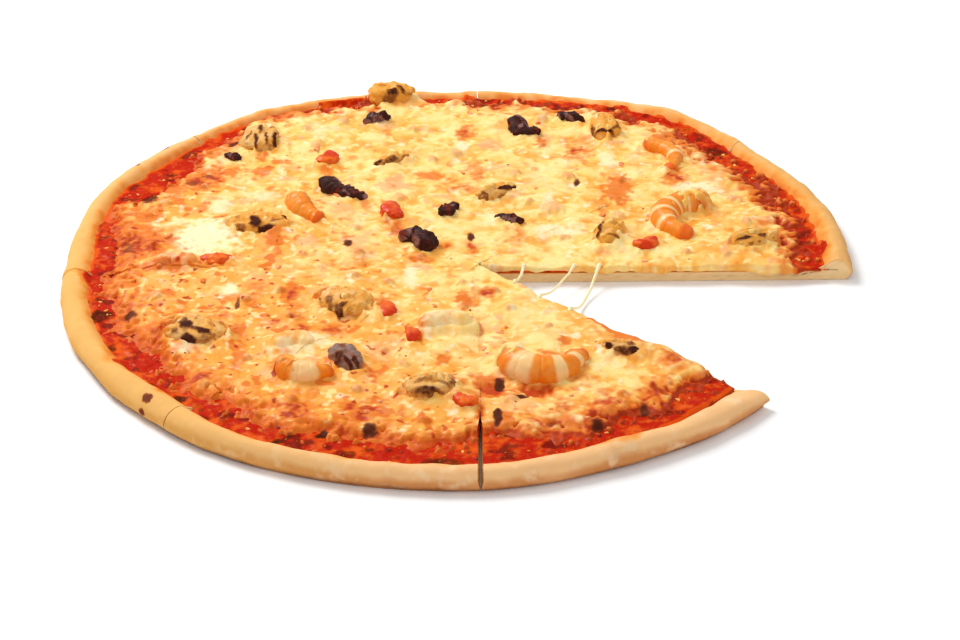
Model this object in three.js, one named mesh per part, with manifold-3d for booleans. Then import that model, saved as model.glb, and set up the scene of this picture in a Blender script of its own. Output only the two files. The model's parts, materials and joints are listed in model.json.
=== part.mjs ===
// A round seafood pizza cut into eight slices, one of them gone, in millimetres with +Z up.
// It lies on z = 0, and the origin is the middle of its underside. Angles run
// anticlockwise from +X seen from above. The slice between 315 and 360 degrees is gone.
// Every slice is dough, sauce and melted cheese, and the toppings lie on the cheese.

import * as THREE from 'three';
import Module from 'manifold-3d';
import { mergeVertices } from 'three/addons/utils/BufferGeometryUtils.js';

const wasm = await Module();
wasm.setup();

// ---------------------------------------------------------------- driving dimensions

// Where the round form's centre stands, so that the origin is the middle of what is left
const ROUND_CENTRE = new THREE.Vector3(1.5, -2.5, 0);
const SLICES = 8;
const GONE_SLICE = 7;                      // counted anticlockwise from the cut at 0 degrees
const CUT_CENTRE = new THREE.Vector2(7, -4);
const KERF = 0.6;                          // width of every cut at the centre
// How much further each cut opens towards the rim, in degrees, from the cut at 0 degrees on
const CUT_OPENING = [0, 0.1, 0.1, 0.15, 0.35, 0.2, 0.8, 0];

// Values around the rim stand 30 degrees apart, from +X on
const RIM_RADIUS = [156, 161, 172, 167, 172, 167.5, 159, 160, 162, 162, 157, 152.5];
const CRUST_WIDTH = [12, 11, 8, 7, 8, 10, 12, 12, 10, 10.5, 12, 14];
const SAUCE_RING = [13, 11, 13, 6, 5, 13, 9, 13, 14, 20, 11, 12];
const CRUST_CREST = [8.6, 8.2, 7.4, 7, 7.4, 8.2, 8.6, 8.8, 8.8, 8.8, 8.8, 8.8];
const BURST = { angle: 225, spread: 7, width: 3.5, height: 1.2 };  // swollen stretch of the rim
const TORN_END = { share: 0.22, reach: 5, lift: 1.5, thinning: 0.4 };  // pointed crust end at the gap

const DOUGH_TOP = 4;
const LAYER_GAP = 0.2;
const SAUCE_TOP = 5.3;
const CHEESE_TOP = 7.8;
const CHEESE_STEP = 7.5;                   // distance between the points of the cheese relief
const CHEESE_LOBES = [[7, 1.6, 0.4], [11, 2.2, 2.1], [17, 1.8, 4.4]];  // waves per turn, depth, phase
// Swells of the melted cheese: wavelength, direction in degrees, height, phase
const CHEESE_SWELLS = [
  [46, 20, 0.3, 0.3], [33, 75, 0.26, 1.9], [27, 140, 0.24, 4.1],
  [21, 105, 0.22, 2.2], [17, 170, 0.2, 5.0], [14, 50, 0.16, 0.9],
];
// Peak of cheese drawn up at the gap: x and y, radius, height
const DRAWN_PEAK = [75, -75, 8, 3];
const CLEARANCE = 0.35;                    // between a topping and what it lies on
// Share of its height that each kind of topping has sunk into the cheese
const SUNK = { mussel: 0.34, octopus: 0.3, prawn: 0.42, pepper: 0.3, squid: 0.3 };

const MORSELS_PER_SLICE = 7;               // small bits of seafood baked into the cheese
const MORSEL = { shortest: 4.5, longest: 9, height: 3.2, proud: 2.1, apart: 11 };

// Toppings: x and y of the middle, length, width, height, turn of the length from +X in degrees
const MUSSELS = [
  [-86.5, 111, 21, 17, 11, 84], [-83, 32, 25, 16, 9, 8], [-101, -58, 22, 20, 9, -20],
  [-29, 91, 19, 9, 7, 38], [62, 119, 20, 13.5, 10, 96], [14.5, 59, 19, 10.5, 8, 38],
  [-45, -36, 21, 19, 9, 150], [-43, -80, 18.5, 11.5, 9, -62], [-11, -103, 19, 14, 10, 12],
  [60, -74, 15, 9, 7, -18], [-31, 155.5, 20, 14, 12, 5], [60, 20, 20, 12, 9, 70],
  [118, 14, 19, 13, 9, 20],
];
// Octopus: x, y, length along the curl, thickness, curl in degrees, turn of the thick end
const OCTOPUS = [
  [-96.5, 95, 9, 5.5, 120, 30], [-52.5, 62.8, 25, 9, 50, 225], [-36, 132, 11, 8, 140, 80],
  [24.5, 120, 17, 9, 190, 200], [49, 130, 12, 7, 150, 35], [21, 35, 13, 6, 110, 50],
  [-5.5, 41, 11, 7, 150, 300], [-15, 14, 19, 11, 170, 20],
];
// Prawns: x and y of the curl's middle, its radius, from and to in degrees, thickness
const PRAWNS = [
  [31, -80, 12.5, 172, 372, 13], [-57, -83, 9.5, 195, 325, 10], [-46, 55, 22, 178, 240, 10.5],
  [78.5, 89.5, 12.5, 100, -52, 8], [96, 33, 13, 60, 262, 12.5],
];
// Red pepper: x, y, length, width, height, turn, bend
const PEPPERS = [
  [-56, 92, 12, 8, 5, 60, 2], [-29, 42, 14, 9, 6, 105, -2], [-98, 0.4, 13, 6.5, 5, 4, 1],
  [1, -113, 11, 6, 5, -30, 1], [-28, -43, 12, 7, 5, 80, 1.5], [-18, -63, 9, 6, 5, 100, 1],
  [75, 11, 12, 7, 5, 30, 2],
];
// Squid strips: x and y of the arc's middle, its radius, from and to in degrees, width, height
const SQUID = [
  [-113.5, -14, 15, 62, 122, 7, 5], [-63, -73, 8, 50, 150, 8, 6], [-5, -66, 13, 55, 140, 8, 7],
];
// Strings of cheese that sag across the gap: distance from the cut centre, lean, thickness, sag
const STRANDS = [[20, -2, 1.7, 1.8], [34, 4, 1.3, 3.4], [50, -2, 1.6, 5.6]];
const STRAND_HOLD = 5;                     // length of a string's end that lies on the cheese

const FINISH = {
  dough: { color: 0xefcf9c, roughness: 0.85 },
  sauce: { color: 0xc8321a, roughness: 0.45 },
  cheese: { color: 0xf8d98c, roughness: 0.5 },
  mussel: { color: 0xb3702c, roughness: 0.45 },
  octopus: { color: 0x3a2226, roughness: 0.4 },
  prawn: { color: 0xf0893a, roughness: 0.4 },
  pepper: { color: 0xd23a1c, roughness: 0.35 },
  squid: { color: 0xf6ead2, roughness: 0.45 },
  cheese_string: { color: 0xf6e3b4, roughness: 0.45 },
};

// ---------------------------------------------------------------- rules of form

const radians = THREE.MathUtils.degToRad;
const smooth = (x, low, high) => THREE.MathUtils.smoothstep(x, low, high);
const heading = (angle) => new THREE.Vector2(Math.cos(angle), Math.sin(angle));

// A value that varies smoothly around the rim, read between entries that are evenly spread
function around(values, angle) {
  const place = (angle / (2 * Math.PI)) * values.length;
  const before = Math.floor(place);
  const blend = (1 - Math.cos(Math.PI * (place - before))) / 2;
  const entry = (i) => values[((i % values.length) + values.length) % values.length];
  return entry(before) * (1 - blend) + entry(before + 1) * blend;
}

function burst(angle) {
  const away = THREE.MathUtils.euclideanModulo(angle - radians(BURST.angle) + Math.PI, 2 * Math.PI) - Math.PI;
  return Math.exp(-((away / radians(BURST.spread)) ** 2));
}

const rimRadius = (angle) => around(RIM_RADIUS, angle);
const crustWidth = (angle) => around(CRUST_WIDTH, angle) + BURST.width * burst(angle);
const crustCrest = (angle) => around(CRUST_CREST, angle) + 0.4 * Math.sin(3 * angle + 1)
  + 0.35 * Math.sin(7 * angle + 2) + BURST.height * burst(angle);
const crustFoot = (angle) => rimRadius(angle) - crustWidth(angle);
const sauceRadius = (angle) => crustFoot(angle) - 2 * LAYER_GAP;

function cheeseRadius(angle) {
  const lobes = CHEESE_LOBES.reduce(
    (sum, [waves, depth, phase]) => sum + depth * Math.sin(waves * angle + phase), 0);
  return sauceRadius(angle) - around(SAUCE_RING, angle) + lobes;
}

function cheeseHeight(x, y) {
  const [peakX, peakY, peakRadius, peakHeight] = DRAWN_PEAK;
  const drawn = peakHeight * Math.exp(-((Math.hypot(x - peakX, y - peakY) / peakRadius) ** 2));
  return CHEESE_SWELLS.reduce((sum, [wavelength, direction, height, phase]) => {
    const along = heading(radians(direction)).dot(new THREE.Vector2(x, y));
    return sum + height * Math.sin((2 * Math.PI * along) / wavelength + phase);
  }, CHEESE_TOP + drawn);
}

const REACH_PASSES = 6;

// Distance from a slice's tip, along a heading, to an outline that is given about the origin
function reachTo(outline, tip, angle) {
  const ahead = heading(angle);
  let reach = outline(angle);
  for (let pass = 0; pass < REACH_PASSES; pass += 1) {
    const edge = tip.clone().addScaledVector(ahead, reach);
    const radius = outline(Math.atan2(edge.y, edge.x));
    const along = tip.dot(ahead);
    reach = Math.sqrt(along ** 2 - tip.lengthSq() + radius ** 2) - along;
  }
  return reach;
}

// Where a slice's tip and its two cuts lie; grown moves every side out by that much
function sliceFrame(index, grown = 0) {
  const turn = (2 * Math.PI) / SLICES;
  const from = index * turn + radians(CUT_OPENING[index]) / 2;
  const to = (index + 1) * turn - radians(CUT_OPENING[(index + 1) % SLICES]) / 2;
  const tip = CUT_CENTRE.clone().addScaledVector(heading((from + to) / 2), KERF / 2 / Math.sin(turn / 2));
  return { tip, from, to, grown };
}

// A row of points across a slice, from one cut to the other
function raySweep(frame, spans, place) {
  return Array.from({ length: spans + 1 }, (_, j) => {
    const share = j / spans;
    const angle = THREE.MathUtils.lerp(frame.from, frame.to, share);
    const { distance, height } = place(angle, share);
    const spot = frame.tip.clone().addScaledVector(heading(angle), distance);
    if (j === 0) spot.addScaledVector(heading(frame.from - Math.PI / 2), frame.grown);
    if (j === spans) spot.addScaledVector(heading(frame.to + Math.PI / 2), frame.grown);
    return new THREE.Vector3(spot.x, spot.y, height);
  });
}

function tipRow(frame, height) {
  const setBack = frame.grown / Math.sin((frame.to - frame.from) / 2);
  const spot = frame.tip.clone().addScaledVector(heading((frame.from + frame.to) / 2), -setBack);
  return [new THREE.Vector3(spot.x, spot.y, height)];
}

// ---------------------------------------------------------------- solids

function solidFrom(points, triangles) {
  return new wasm.Manifold(new wasm.Mesh({
    numProp: 3,
    vertProperties: new Float32Array(points.flatMap((point) => [point.x, point.y, point.z])),
    triVerts: new Uint32Array(triangles.flat()),
  }));
}

function solidFromGeometry(geometry) {
  geometry.deleteAttribute('normal');
  geometry.deleteAttribute('uv');
  const merged = mergeVertices(geometry, 1e-4);
  return new wasm.Manifold(new wasm.Mesh({
    numProp: 3,
    vertProperties: merged.attributes.position.array,
    triVerts: new Uint32Array(merged.index.array),
  }));
}

function geometryFrom(solid) {
  const { vertProperties, triVerts } = solid.getMesh();
  const geometry = new THREE.BufferGeometry();
  geometry.setAttribute('position', new THREE.BufferAttribute(vertProperties, 3));
  geometry.setIndex(new THREE.BufferAttribute(triVerts, 1));
  geometry.computeVertexNormals();
  return geometry;
}

function largestPiece(solid) {
  return solid.decompose().reduce((best, piece) => (piece.volume() > best.volume() ? piece : best));
}

// Triangles between two neighbouring rows, which may hold different numbers of points
function stitchRows(inner, innerStart, outer, outerStart) {
  const triangles = [];
  let i = 0;
  let j = 0;
  while (i < inner.length - 1 || j < outer.length - 1) {
    const innerNext = i < inner.length - 1 ? (i + 1) / (inner.length - 1) : Infinity;
    const outerNext = j < outer.length - 1 ? (j + 1) / (outer.length - 1) : Infinity;
    if (outerNext <= innerNext) {
      triangles.push([innerStart + i, outerStart + j, outerStart + j + 1]);
      j += 1;
    } else {
      triangles.push([innerStart + i, outerStart + j, innerStart + i + 1]);
      i += 1;
    }
  }
  return triangles;
}

// A closed wedge from rows of points across a slice: the first row is the tip, and the
// last is the edge of the underside. The two cut faces are filled between the row ends.
function wedgeSolid(rows, underside) {
  const starts = rows.map((_, i) => rows.slice(0, i).reduce((sum, row) => sum + row.length, 0));
  const points = rows.flat();
  const tip = rows[0][0];
  const underTip = points.push(new THREE.Vector3(tip.x, tip.y, underside)) - 1;
  const triangles = rows.slice(1).flatMap(
    (row, i) => stitchRows(rows[i], starts[i], row, starts[i + 1]));
  const edge = starts.at(-1);
  for (let j = 0; j + 1 < rows.at(-1).length; j += 1) {
    triangles.push([underTip, edge + j + 1, edge + j]);
  }
  for (const side of ['from', 'to']) {
    const ends = rows.map((row, i) => starts[i] + (side === 'to' ? row.length - 1 : 0));
    ends.push(underTip);
    const face = ends.map((index) => {
      const point = points[index];
      return new THREE.Vector2(Math.hypot(point.x - tip.x, point.y - tip.y), point.z);
    });
    for (const corners of THREE.ShapeUtils.triangulateShape(face, [])) {
      const [a, b, c] = corners.map((corner) => face[corner]);
      const anticlockwise = b.clone().sub(a).cross(c.clone().sub(a)) > 0;
      const triangle = corners.map((corner) => ends[corner]);
      triangles.push(anticlockwise === (side === 'from') ? triangle : triangle.reverse());
    }
  }
  return solidFrom(points, triangles);
}

function signedVolume(positions, index) {
  let volume = 0;
  for (let i = 0; i < index.length; i += 3) {
    const [a, b, c] = index.slice(i, i + 3).map((corner) => positions[corner]);
    volume += a.dot(b.clone().cross(c)) / 6;
  }
  return volume;
}

// A closed skin round rings of points that run from one end to the other of a piece
function skinGeometry(rings, sides, place) {
  const positions = [place(0, 0)];
  for (let i = 1; i < rings; i += 1) {
    for (let j = 0; j < sides; j += 1) positions.push(place(i / rings, (j / sides) * 2 * Math.PI));
  }
  const last = positions.push(place(1, 0)) - 1;
  const index = [];
  const at = (ring, side) => 1 + (ring - 1) * sides + (side % sides);
  for (let j = 0; j < sides; j += 1) {
    index.push(0, at(1, j + 1), at(1, j));
    index.push(last, at(rings - 1, j), at(rings - 1, j + 1));
    for (let i = 1; i < rings - 1; i += 1) {
      index.push(at(i, j), at(i, j + 1), at(i + 1, j));
      index.push(at(i, j + 1), at(i + 1, j + 1), at(i + 1, j));
    }
  }
  if (signedVolume(positions, index) < 0) index.reverse();
  const geometry = new THREE.BufferGeometry().setFromPoints(positions);
  geometry.setIndex(index);
  return geometry;
}

// ---------------------------------------------------------------- layers of a slice

// The rim's section: share of the crust's width in from the outer edge, then the height as a
// share of the rise from the flat dough to the crest, and below the crest of the whole height
const RIM_RISE = [[1, 0], [0.84, 0.52], [0.66, 0.87], [0.46, 1], [0.24, 0.86]];
const RIM_FALL = [[0.08, 0.7], [0, 0.44], [0.05, 0.2], [0.2, 0]];
const RIM_SPANS = 14;

function doughRows(index, grown) {
  const frame = sliceFrame(index, grown);
  const torn = index === GONE_SLICE - 1;
  const station = ([inward, level], heightFrom, outset) => raySweep(frame, RIM_SPANS, (angle, share) => {
    const edge = reachTo(rimRadius, frame.tip, angle);
    const foot = reachTo(crustFoot, frame.tip, angle);
    const pull = torn ? smooth(share, 1 - TORN_END.share, 1) * smooth(1 - inward, 0, 0.34) : 0;
    return {
      distance: THREE.MathUtils.lerp(edge, foot, inward) + outset,
      height: heightFrom(level, crustCrest(angle)) * (1 - TORN_END.thinning * pull) + TORN_END.lift * pull,
    };
  });
  const rows = [
    tipRow(frame, DOUGH_TOP),
    ...RIM_RISE.map((step) => station(step, (level, crest) => DOUGH_TOP + level * (crest - DOUGH_TOP), 0)),
    ...RIM_FALL.map((step) => station(step, (level, crest) => level * crest, grown)),
  ];
  if (torn) drawOutEnd(rows, frame);
  return rows;
}

// Pulls the rim's last stretch past the cut, so that the crust there ends in a point
function drawOutEnd(rows, frame) {
  const across = heading(frame.to + Math.PI / 2);
  const levels = [...RIM_RISE, ...RIM_FALL];
  rows.slice(1).forEach((row, i) => {
    const outward = smooth(1 - levels[i][0], 0, 1);
    row.forEach((point, j) => {
      const share = smooth(j / RIM_SPANS, 1 - TORN_END.share, 1);
      point.x += across.x * TORN_END.reach * outward * share;
      point.y += across.y * TORN_END.reach * outward * share;
    });
  });
}

// The sauce's edge: distance in from it, share of the layer's thickness
const SAUCE_EDGE = [[14, 0.92], [5, 1], [1.4, 0.75], [0, 0.3], [0, 0]];

function sauceRows(index, grown) {
  const frame = sliceFrame(index, grown);
  const underside = DOUGH_TOP + LAYER_GAP;
  const row = ([inward, share]) => raySweep(frame, RIM_SPANS, (angle) => ({
    distance: reachTo(sauceRadius, frame.tip, angle) - inward + (inward === 0 ? grown : 0),
    height: underside + share * (SAUCE_TOP - underside),
  }));
  return [tipRow(frame, SAUCE_TOP), ...SAUCE_EDGE.map(row)];
}

// The cheese's edge: distance in from it, share of the layer's thickness
const CHEESE_EDGE = [[2, 0.8], [0, 0.35], [0, 0]];

function cheeseRows(index, grown) {
  const frame = sliceFrame(index, grown);
  const underside = SAUCE_TOP + LAYER_GAP;
  const edge = (angle) => reachTo(cheeseRadius, frame.tip, angle);
  const deepest = edge((frame.from + frame.to) / 2);
  const row = (part, inward, share, outset) => {
    const spans = Math.max(1, Math.round((part * deepest * (frame.to - frame.from)) / CHEESE_STEP));
    return raySweep(frame, spans, (angle) => {
      const distance = part * edge(angle) - inward;
      const spot = frame.tip.clone().addScaledVector(heading(angle), distance);
      const height = underside + share * (cheeseHeight(spot.x, spot.y) - underside);
      return { distance: distance + outset, height };
    });
  };
  const rings = Math.round(deepest / CHEESE_STEP);
  return [
    tipRow(frame, cheeseHeight(frame.tip.x, frame.tip.y)),
    ...Array.from({ length: rings - 1 }, (_, i) => row((i + 1) / rings, 0, 1, 0)),
    ...CHEESE_EDGE.map(([inward, share]) => row(1, inward, share, inward === 0 ? grown : 0)),
  ];
}

// A layer grown and lifted by the clearance, which trims what lies on it
function raisedSolid(rows) {
  const lifted = rows.map((row) => row.map((point) => point.clone().setZ(point.z + CLEARANCE)));
  lifted.at(-1).forEach((point) => point.setZ(0));
  return wedgeSolid(lifted, 0);
}

// ---------------------------------------------------------------- toppings

// A mussel's meat: a plump oval, blunt at one end, with a frilled edge and a crease on top
function musselGeometry(length, width, height) {
  return skinGeometry(8, 8, (along, turn) => {
    const full = Math.sin(Math.PI * along) ** 0.7 * (1.12 - 0.34 * along);
    const side = Math.cos(turn);
    const up = Math.sin(turn);
    const frill = 1 + 0.09 * Math.abs(side) * Math.cos(8 * Math.PI * along);
    const crease = up > 0 ? 0.2 * Math.exp(-((side / 0.35) ** 2)) : 0;
    return new THREE.Vector3(
      (-length / 2) * Math.cos(Math.PI * along),
      (width / 2) * side * full * frill,
      (height / 2) * full * (up - crease),
    );
  });
}

// A curled piece of octopus arm: thick and rounded at one end, thin at the other
function octopusGeometry(length, thickness, curl) {
  const sweep = radians(curl);
  const radius = length / sweep;
  return skinGeometry(7, 6, (along, turn) => {
    const round = Math.min(1, 3.4 * Math.sqrt(along * (1 - along)));
    const thick = (thickness / 2) * round * (1 - 0.5 * along) * (1 + 0.1 * Math.cos(8 * Math.PI * along));
    const angle = sweep * (along - 0.35);
    const out = radius + thick * Math.cos(turn);
    const rise = thick * 0.9 * Math.sin(turn);
    return new THREE.Vector3(out * Math.cos(angle) - radius, out * Math.sin(angle), rise);
  });
}

// A peeled prawn that lies curled on its side: six bulging segments and a flat tail fan
function prawnGeometry(radius, from, to, thickness) {
  return skinGeometry(13, 7, (along, turn) => {
    const angle = radians(THREE.MathUtils.lerp(from, to, along));
    const body = smooth(along, -0.02, 0.12) * (1 - 0.55 * smooth(along, 0.3, 0.86));
    const fan = smooth(along, 0.84, 0.95) * smooth(1 - along, -0.01, 0.04);
    const bulge = 1 + 0.05 * Math.cos(13 * Math.PI * along);
    const wide = (thickness / 2) * (body * bulge * (1 - 0.3 * smooth(along, 0.9, 1)) + 0.35 * fan);
    const flat = 1 - 0.5 * smooth(along, 0.82, 0.95);
    const end = along === 0 || along === 1 ? 0 : 1;
    const out = radius + end * wide * Math.cos(turn);
    const rise = end * wide * flat * Math.sin(turn);
    return new THREE.Vector3(out * Math.cos(angle), out * Math.sin(angle), rise);
  });
}

// A cut piece of red pepper: a thick bent slab with softened corners
function pepperGeometry(length, width, height, bend) {
  const geometry = new THREE.BoxGeometry(length, width, height, 4, 2, 1);
  const position = geometry.attributes.position;
  for (let i = 0; i < position.count; i += 1) {
    const along = (2 * position.getX(i)) / length;
    const side = (2 * position.getY(i)) / width;
    const narrow = 1 - 0.25 * along ** 2;
    position.setX(i, position.getX(i) * (1 - 0.1 * side ** 2));
    position.setY(i, position.getY(i) * narrow + bend * along ** 2);
    position.setZ(i, position.getZ(i) * (1 - 0.16 * (along ** 2 + side ** 2)) + 0.4 * side);
  }
  return geometry;
}

// A strip of squid that keeps the curve of the ring it was cut from
function squidGeometry(radius, from, to, width, height) {
  return skinGeometry(8, 7, (along, turn) => {
    const angle = radians(THREE.MathUtils.lerp(from, to, along));
    const round = Math.min(1, 2.6 * Math.sqrt(along * (1 - along)));
    const out = radius + (width / 2) * round * Math.cos(turn);
    return new THREE.Vector3(
      out * Math.cos(angle), out * Math.sin(angle), (height / 2) * round * Math.sin(turn));
  });
}

// A string of melted cheese over the gap, lying on the cheese at both ends
function strandGeometry(distance, lean, thickness, sag) {
  const gap = sliceFrame(GONE_SLICE);
  const near = CUT_CENTRE.clone().addScaledVector(heading(gap.from), distance);
  const far = CUT_CENTRE.clone().addScaledVector(heading(gap.to), distance + lean);
  const across = far.clone().sub(near).normalize();
  const spot = (end, reach, height) => {
    const place = end.clone().addScaledVector(across, reach);
    return new THREE.Vector3(place.x, place.y, height);
  };
  const rest = (end) => cheeseHeight(end.x, end.y) + CLEARANCE + thickness / 3;
  const middle = near.clone().add(far).multiplyScalar(0.5);
  const route = new THREE.CatmullRomCurve3([
    spot(near, -STRAND_HOLD, rest(near)), spot(near, -0.5, rest(near)),
    spot(middle, 0, rest(middle) - sag),
    spot(far, 0.5, rest(far)), spot(far, STRAND_HOLD, rest(far)),
  ]);
  const section = new THREE.Shape().absarc(0, 0, thickness / 2, 0, 2 * Math.PI, false);
  const options = { extrudePath: route, steps: 9, curveSegments: 3, bevelEnabled: false };
  return new THREE.ExtrudeGeometry(section, options);
}

// Sets a topping down on the cheese, sunk as far as its kind is
function seat(kind, geometry, x, y, turn, height) {
  geometry.rotateZ(radians(turn));
  geometry.translate(x, y, cheeseHeight(x, y) + height * (0.5 - SUNK[kind]));
  return { kind, geometry };
}

// ---------------------------------------------------------------- bits baked into the cheese

// A repeatable stream of numbers from 0 to 1
function randomStream(seed) {
  let state = seed;
  return () => {
    state = (state + 0x6d2b79f5) | 0;
    let mixed = Math.imul(state ^ (state >>> 15), 1 | state);
    mixed = (mixed + Math.imul(mixed ^ (mixed >>> 7), 61 | mixed)) ^ mixed;
    return ((mixed ^ (mixed >>> 14)) >>> 0) / 4294967296;
  };
}

function morselGeometries(index, taken) {
  const draw = randomStream(100 + index);
  const frame = sliceFrame(index);
  const placed = [];
  const geometries = [];
  for (let attempt = 0; attempt < 400 && placed.length < MORSELS_PER_SLICE; attempt += 1) {
    const angle = THREE.MathUtils.lerp(frame.from, frame.to, draw());
    const reach = reachTo(cheeseRadius, frame.tip, angle);
    const distance = (reach - MORSEL.longest) * Math.sqrt(draw());
    const spot = frame.tip.clone().addScaledVector(heading(angle), distance);
    const length = THREE.MathUtils.lerp(MORSEL.shortest, MORSEL.longest, draw());
    const turn = draw() * Math.PI;
    const width = length * (0.55 + 0.25 * draw());
    const toCut = distance * Math.sin(Math.min(angle - frame.from, frame.to - angle));
    const free = [...taken, ...placed].every(({ centre, radius }) => (
      centre.distanceTo(spot) > radius + length / 2 + 1));
    if (toCut < length || !free) continue;
    placed.push({ centre: spot, radius: MORSEL.apart - length / 2 });
    const geometry = new THREE.IcosahedronGeometry(1, 0);
    geometry.scale(length / 2, width / 2, MORSEL.height / 2);
    geometry.rotateZ(turn);
    geometry.translate(spot.x, spot.y, cheeseHeight(spot.x, spot.y) + MORSEL.proud - MORSEL.height / 2);
    geometries.push(geometry);
  }
  return geometries;
}

// ---------------------------------------------------------------- the pizza

const pizza = new THREE.Group();
pizza.position.copy(ROUND_CENTRE);

function addPiece(name, solid, kind) {
  const material = new THREE.MeshStandardMaterial({ ...FINISH[kind], metalness: 0 });
  const mesh = new THREE.Mesh(geometryFrom(solid), material);
  mesh.name = name;
  pizza.add(mesh);
}

const present = Array.from({ length: SLICES }, (_, i) => i).filter((i) => i !== GONE_SLICE);
const bed = wasm.Manifold.union(present.flatMap((i) => (
  [doughRows, sauceRows, cheeseRows].map((rowsOf) => raisedSolid(rowsOf(i, CLEARANCE))))));

const toppings = [
  ...MUSSELS.map(([x, y, length, width, height, turn]) => (
    seat('mussel', musselGeometry(length, width, height), x, y, turn, height))),
  ...OCTOPUS.map(([x, y, length, thickness, curl, turn]) => (
    seat('octopus', octopusGeometry(length, thickness, curl), x, y, turn, thickness))),
  ...PRAWNS.map(([x, y, radius, from, to, thickness]) => (
    seat('prawn', prawnGeometry(radius, from, to, thickness), x, y, 0, thickness))),
  ...PEPPERS.map(([x, y, length, width, height, turn, bend]) => (
    seat('pepper', pepperGeometry(length, width, height, bend), x, y, turn, height))),
  ...SQUID.map(([x, y, radius, from, to, width, height]) => (
    seat('squid', squidGeometry(radius, from, to, width, height), x, y, 0, height))),
  ...STRANDS.map((strand) => ({ kind: 'cheese_string', geometry: strandGeometry(...strand) })),
];

const taken = toppings.map(({ geometry }) => {
  geometry.computeBoundingBox();
  const { min, max } = geometry.boundingBox;
  return {
    centre: new THREE.Vector2((min.x + max.x) / 2, (min.y + max.y) / 2),
    radius: Math.hypot(max.x - min.x, max.y - min.y) / 2,
  };
});

for (const i of present) {
  const number = i + 1;
  addPiece(`dough_slice_${number}`, wedgeSolid(doughRows(i, 0), 0), 'dough');
  addPiece(`sauce_slice_${number}`, wedgeSolid(sauceRows(i, 0), DOUGH_TOP + LAYER_GAP), 'sauce');
  const cheese = wedgeSolid(cheeseRows(i, 0), SAUCE_TOP + LAYER_GAP);
  const morsels = morselGeometries(i, taken).map(solidFromGeometry);
  addPiece(`cheese_slice_${number}`, wasm.Manifold.union([cheese, ...morsels]), 'cheese');
}

toppings.forEach(({ kind, geometry }, i) => {
  const number = toppings.slice(0, i + 1).filter((topping) => topping.kind === kind).length;
  addPiece(`${kind}_${number}`, largestPiece(solidFromGeometry(geometry).subtract(bed)), kind);
});

export default pizza;
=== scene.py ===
"""The looks of a round seafood pizza that is cut into eight slices, one of them gone.

Lengths in the tables are in millimetres about the middle of the round form, as in the part's
source, and angles run anticlockwise from +X. The meshes are built in metres.
"""

import json
import math

import bpy
import numpy as np
from mathutils import Matrix, Vector, noise as space_noise

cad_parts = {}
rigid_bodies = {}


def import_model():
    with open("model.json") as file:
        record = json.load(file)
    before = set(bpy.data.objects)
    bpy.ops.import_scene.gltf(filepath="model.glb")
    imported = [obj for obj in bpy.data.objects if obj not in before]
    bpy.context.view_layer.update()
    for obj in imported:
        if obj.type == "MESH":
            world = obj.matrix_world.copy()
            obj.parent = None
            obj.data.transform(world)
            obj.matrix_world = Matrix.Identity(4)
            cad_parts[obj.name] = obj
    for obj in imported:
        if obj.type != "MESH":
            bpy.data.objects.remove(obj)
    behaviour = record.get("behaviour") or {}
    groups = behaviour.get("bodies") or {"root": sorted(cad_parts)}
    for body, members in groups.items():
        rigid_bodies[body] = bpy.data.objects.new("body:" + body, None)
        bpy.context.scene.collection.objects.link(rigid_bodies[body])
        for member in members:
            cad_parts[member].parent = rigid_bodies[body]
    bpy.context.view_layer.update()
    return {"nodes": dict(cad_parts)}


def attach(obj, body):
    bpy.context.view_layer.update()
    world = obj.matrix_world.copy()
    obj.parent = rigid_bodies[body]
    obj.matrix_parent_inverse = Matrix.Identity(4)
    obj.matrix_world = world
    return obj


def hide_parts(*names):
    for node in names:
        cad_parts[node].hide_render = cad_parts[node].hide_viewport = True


bl_info = {
    "name": "Seafood pizza",
    "version": (1, 0, 0),
    "blender": (4, 5, 0),
    "location": "3D View > Sidebar > Pizza",
    "description": "Builds a sliced seafood pizza with its crust, sauce, cheese and toppings",
    "category": "Add Mesh",
}

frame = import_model()

# ---------------------------------------------------------------- sizes and places

MM = 0.001
ROUND_CENTRE = np.array([1.5, -2.5, 0.0])
SLICES = 8
GONE_SLICE = 7
PRESENT = [i for i in range(SLICES) if i != GONE_SLICE]
GAP_CUTS = (GONE_SLICE, (GONE_SLICE + 1) % SLICES)
FRONT_CUT = 6
CUT_CENTRE = np.array([7.0, -4.0])
KERF = 0.6
CUT_OPENING = [0, 0.1, 0.1, 0.15, 0.35, 0.2, 0.8, 0]
# How far from a cut a layer's rim is drawn towards it
RIM_PULL = 4
# Rounds in which the reach to an outline settles, and squares along a side of the noise
REACH_ROUNDS = 6
LATTICE = 64

RIM_RADIUS = [156, 161, 172, 167, 172, 167.5, 159, 160, 162, 162, 157, 152.5]
CRUST_WIDTH = [12, 11, 8, 7, 8, 10, 12, 12, 10, 10.5, 12, 14]
SAUCE_RING = [13, 11, 13, 6, 5, 13, 9, 13, 14, 20, 11, 12]
CRUST_CREST = [8.6, 8.2, 7.4, 7, 7.4, 8.2, 8.6, 8.8, 8.8, 8.8, 8.8, 8.8]
BURST_ANGLE, BURST_SPREAD, BURST_WIDTH, BURST_HEIGHT = 225, 7, 3.5, 1.2
TORN_SHARE, TORN_REACH, TORN_LIFT, TORN_THINNING = 0.22, 5, 1.5, 0.4

DOUGH_TOP = 4
SAUCE_UNDERSIDE = 4.2
SAUCE_TOP = 5.3
CHEESE_UNDERSIDE = 5.5
CHEESE_TOP = 7.8
CHEESE_LOBES = [(7, 1.6, 0.4), (11, 2.2, 2.1), (17, 1.8, 4.4)]
CHEESE_SWELLS = [
    (46, 20, 0.3, 0.3), (33, 75, 0.26, 1.9), (27, 140, 0.24, 4.1),
    (21, 105, 0.22, 2.2), (17, 170, 0.2, 5.0), (14, 50, 0.16, 0.9),
]
DRAWN_PEAK = (75, -75, 8, 3)
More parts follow.
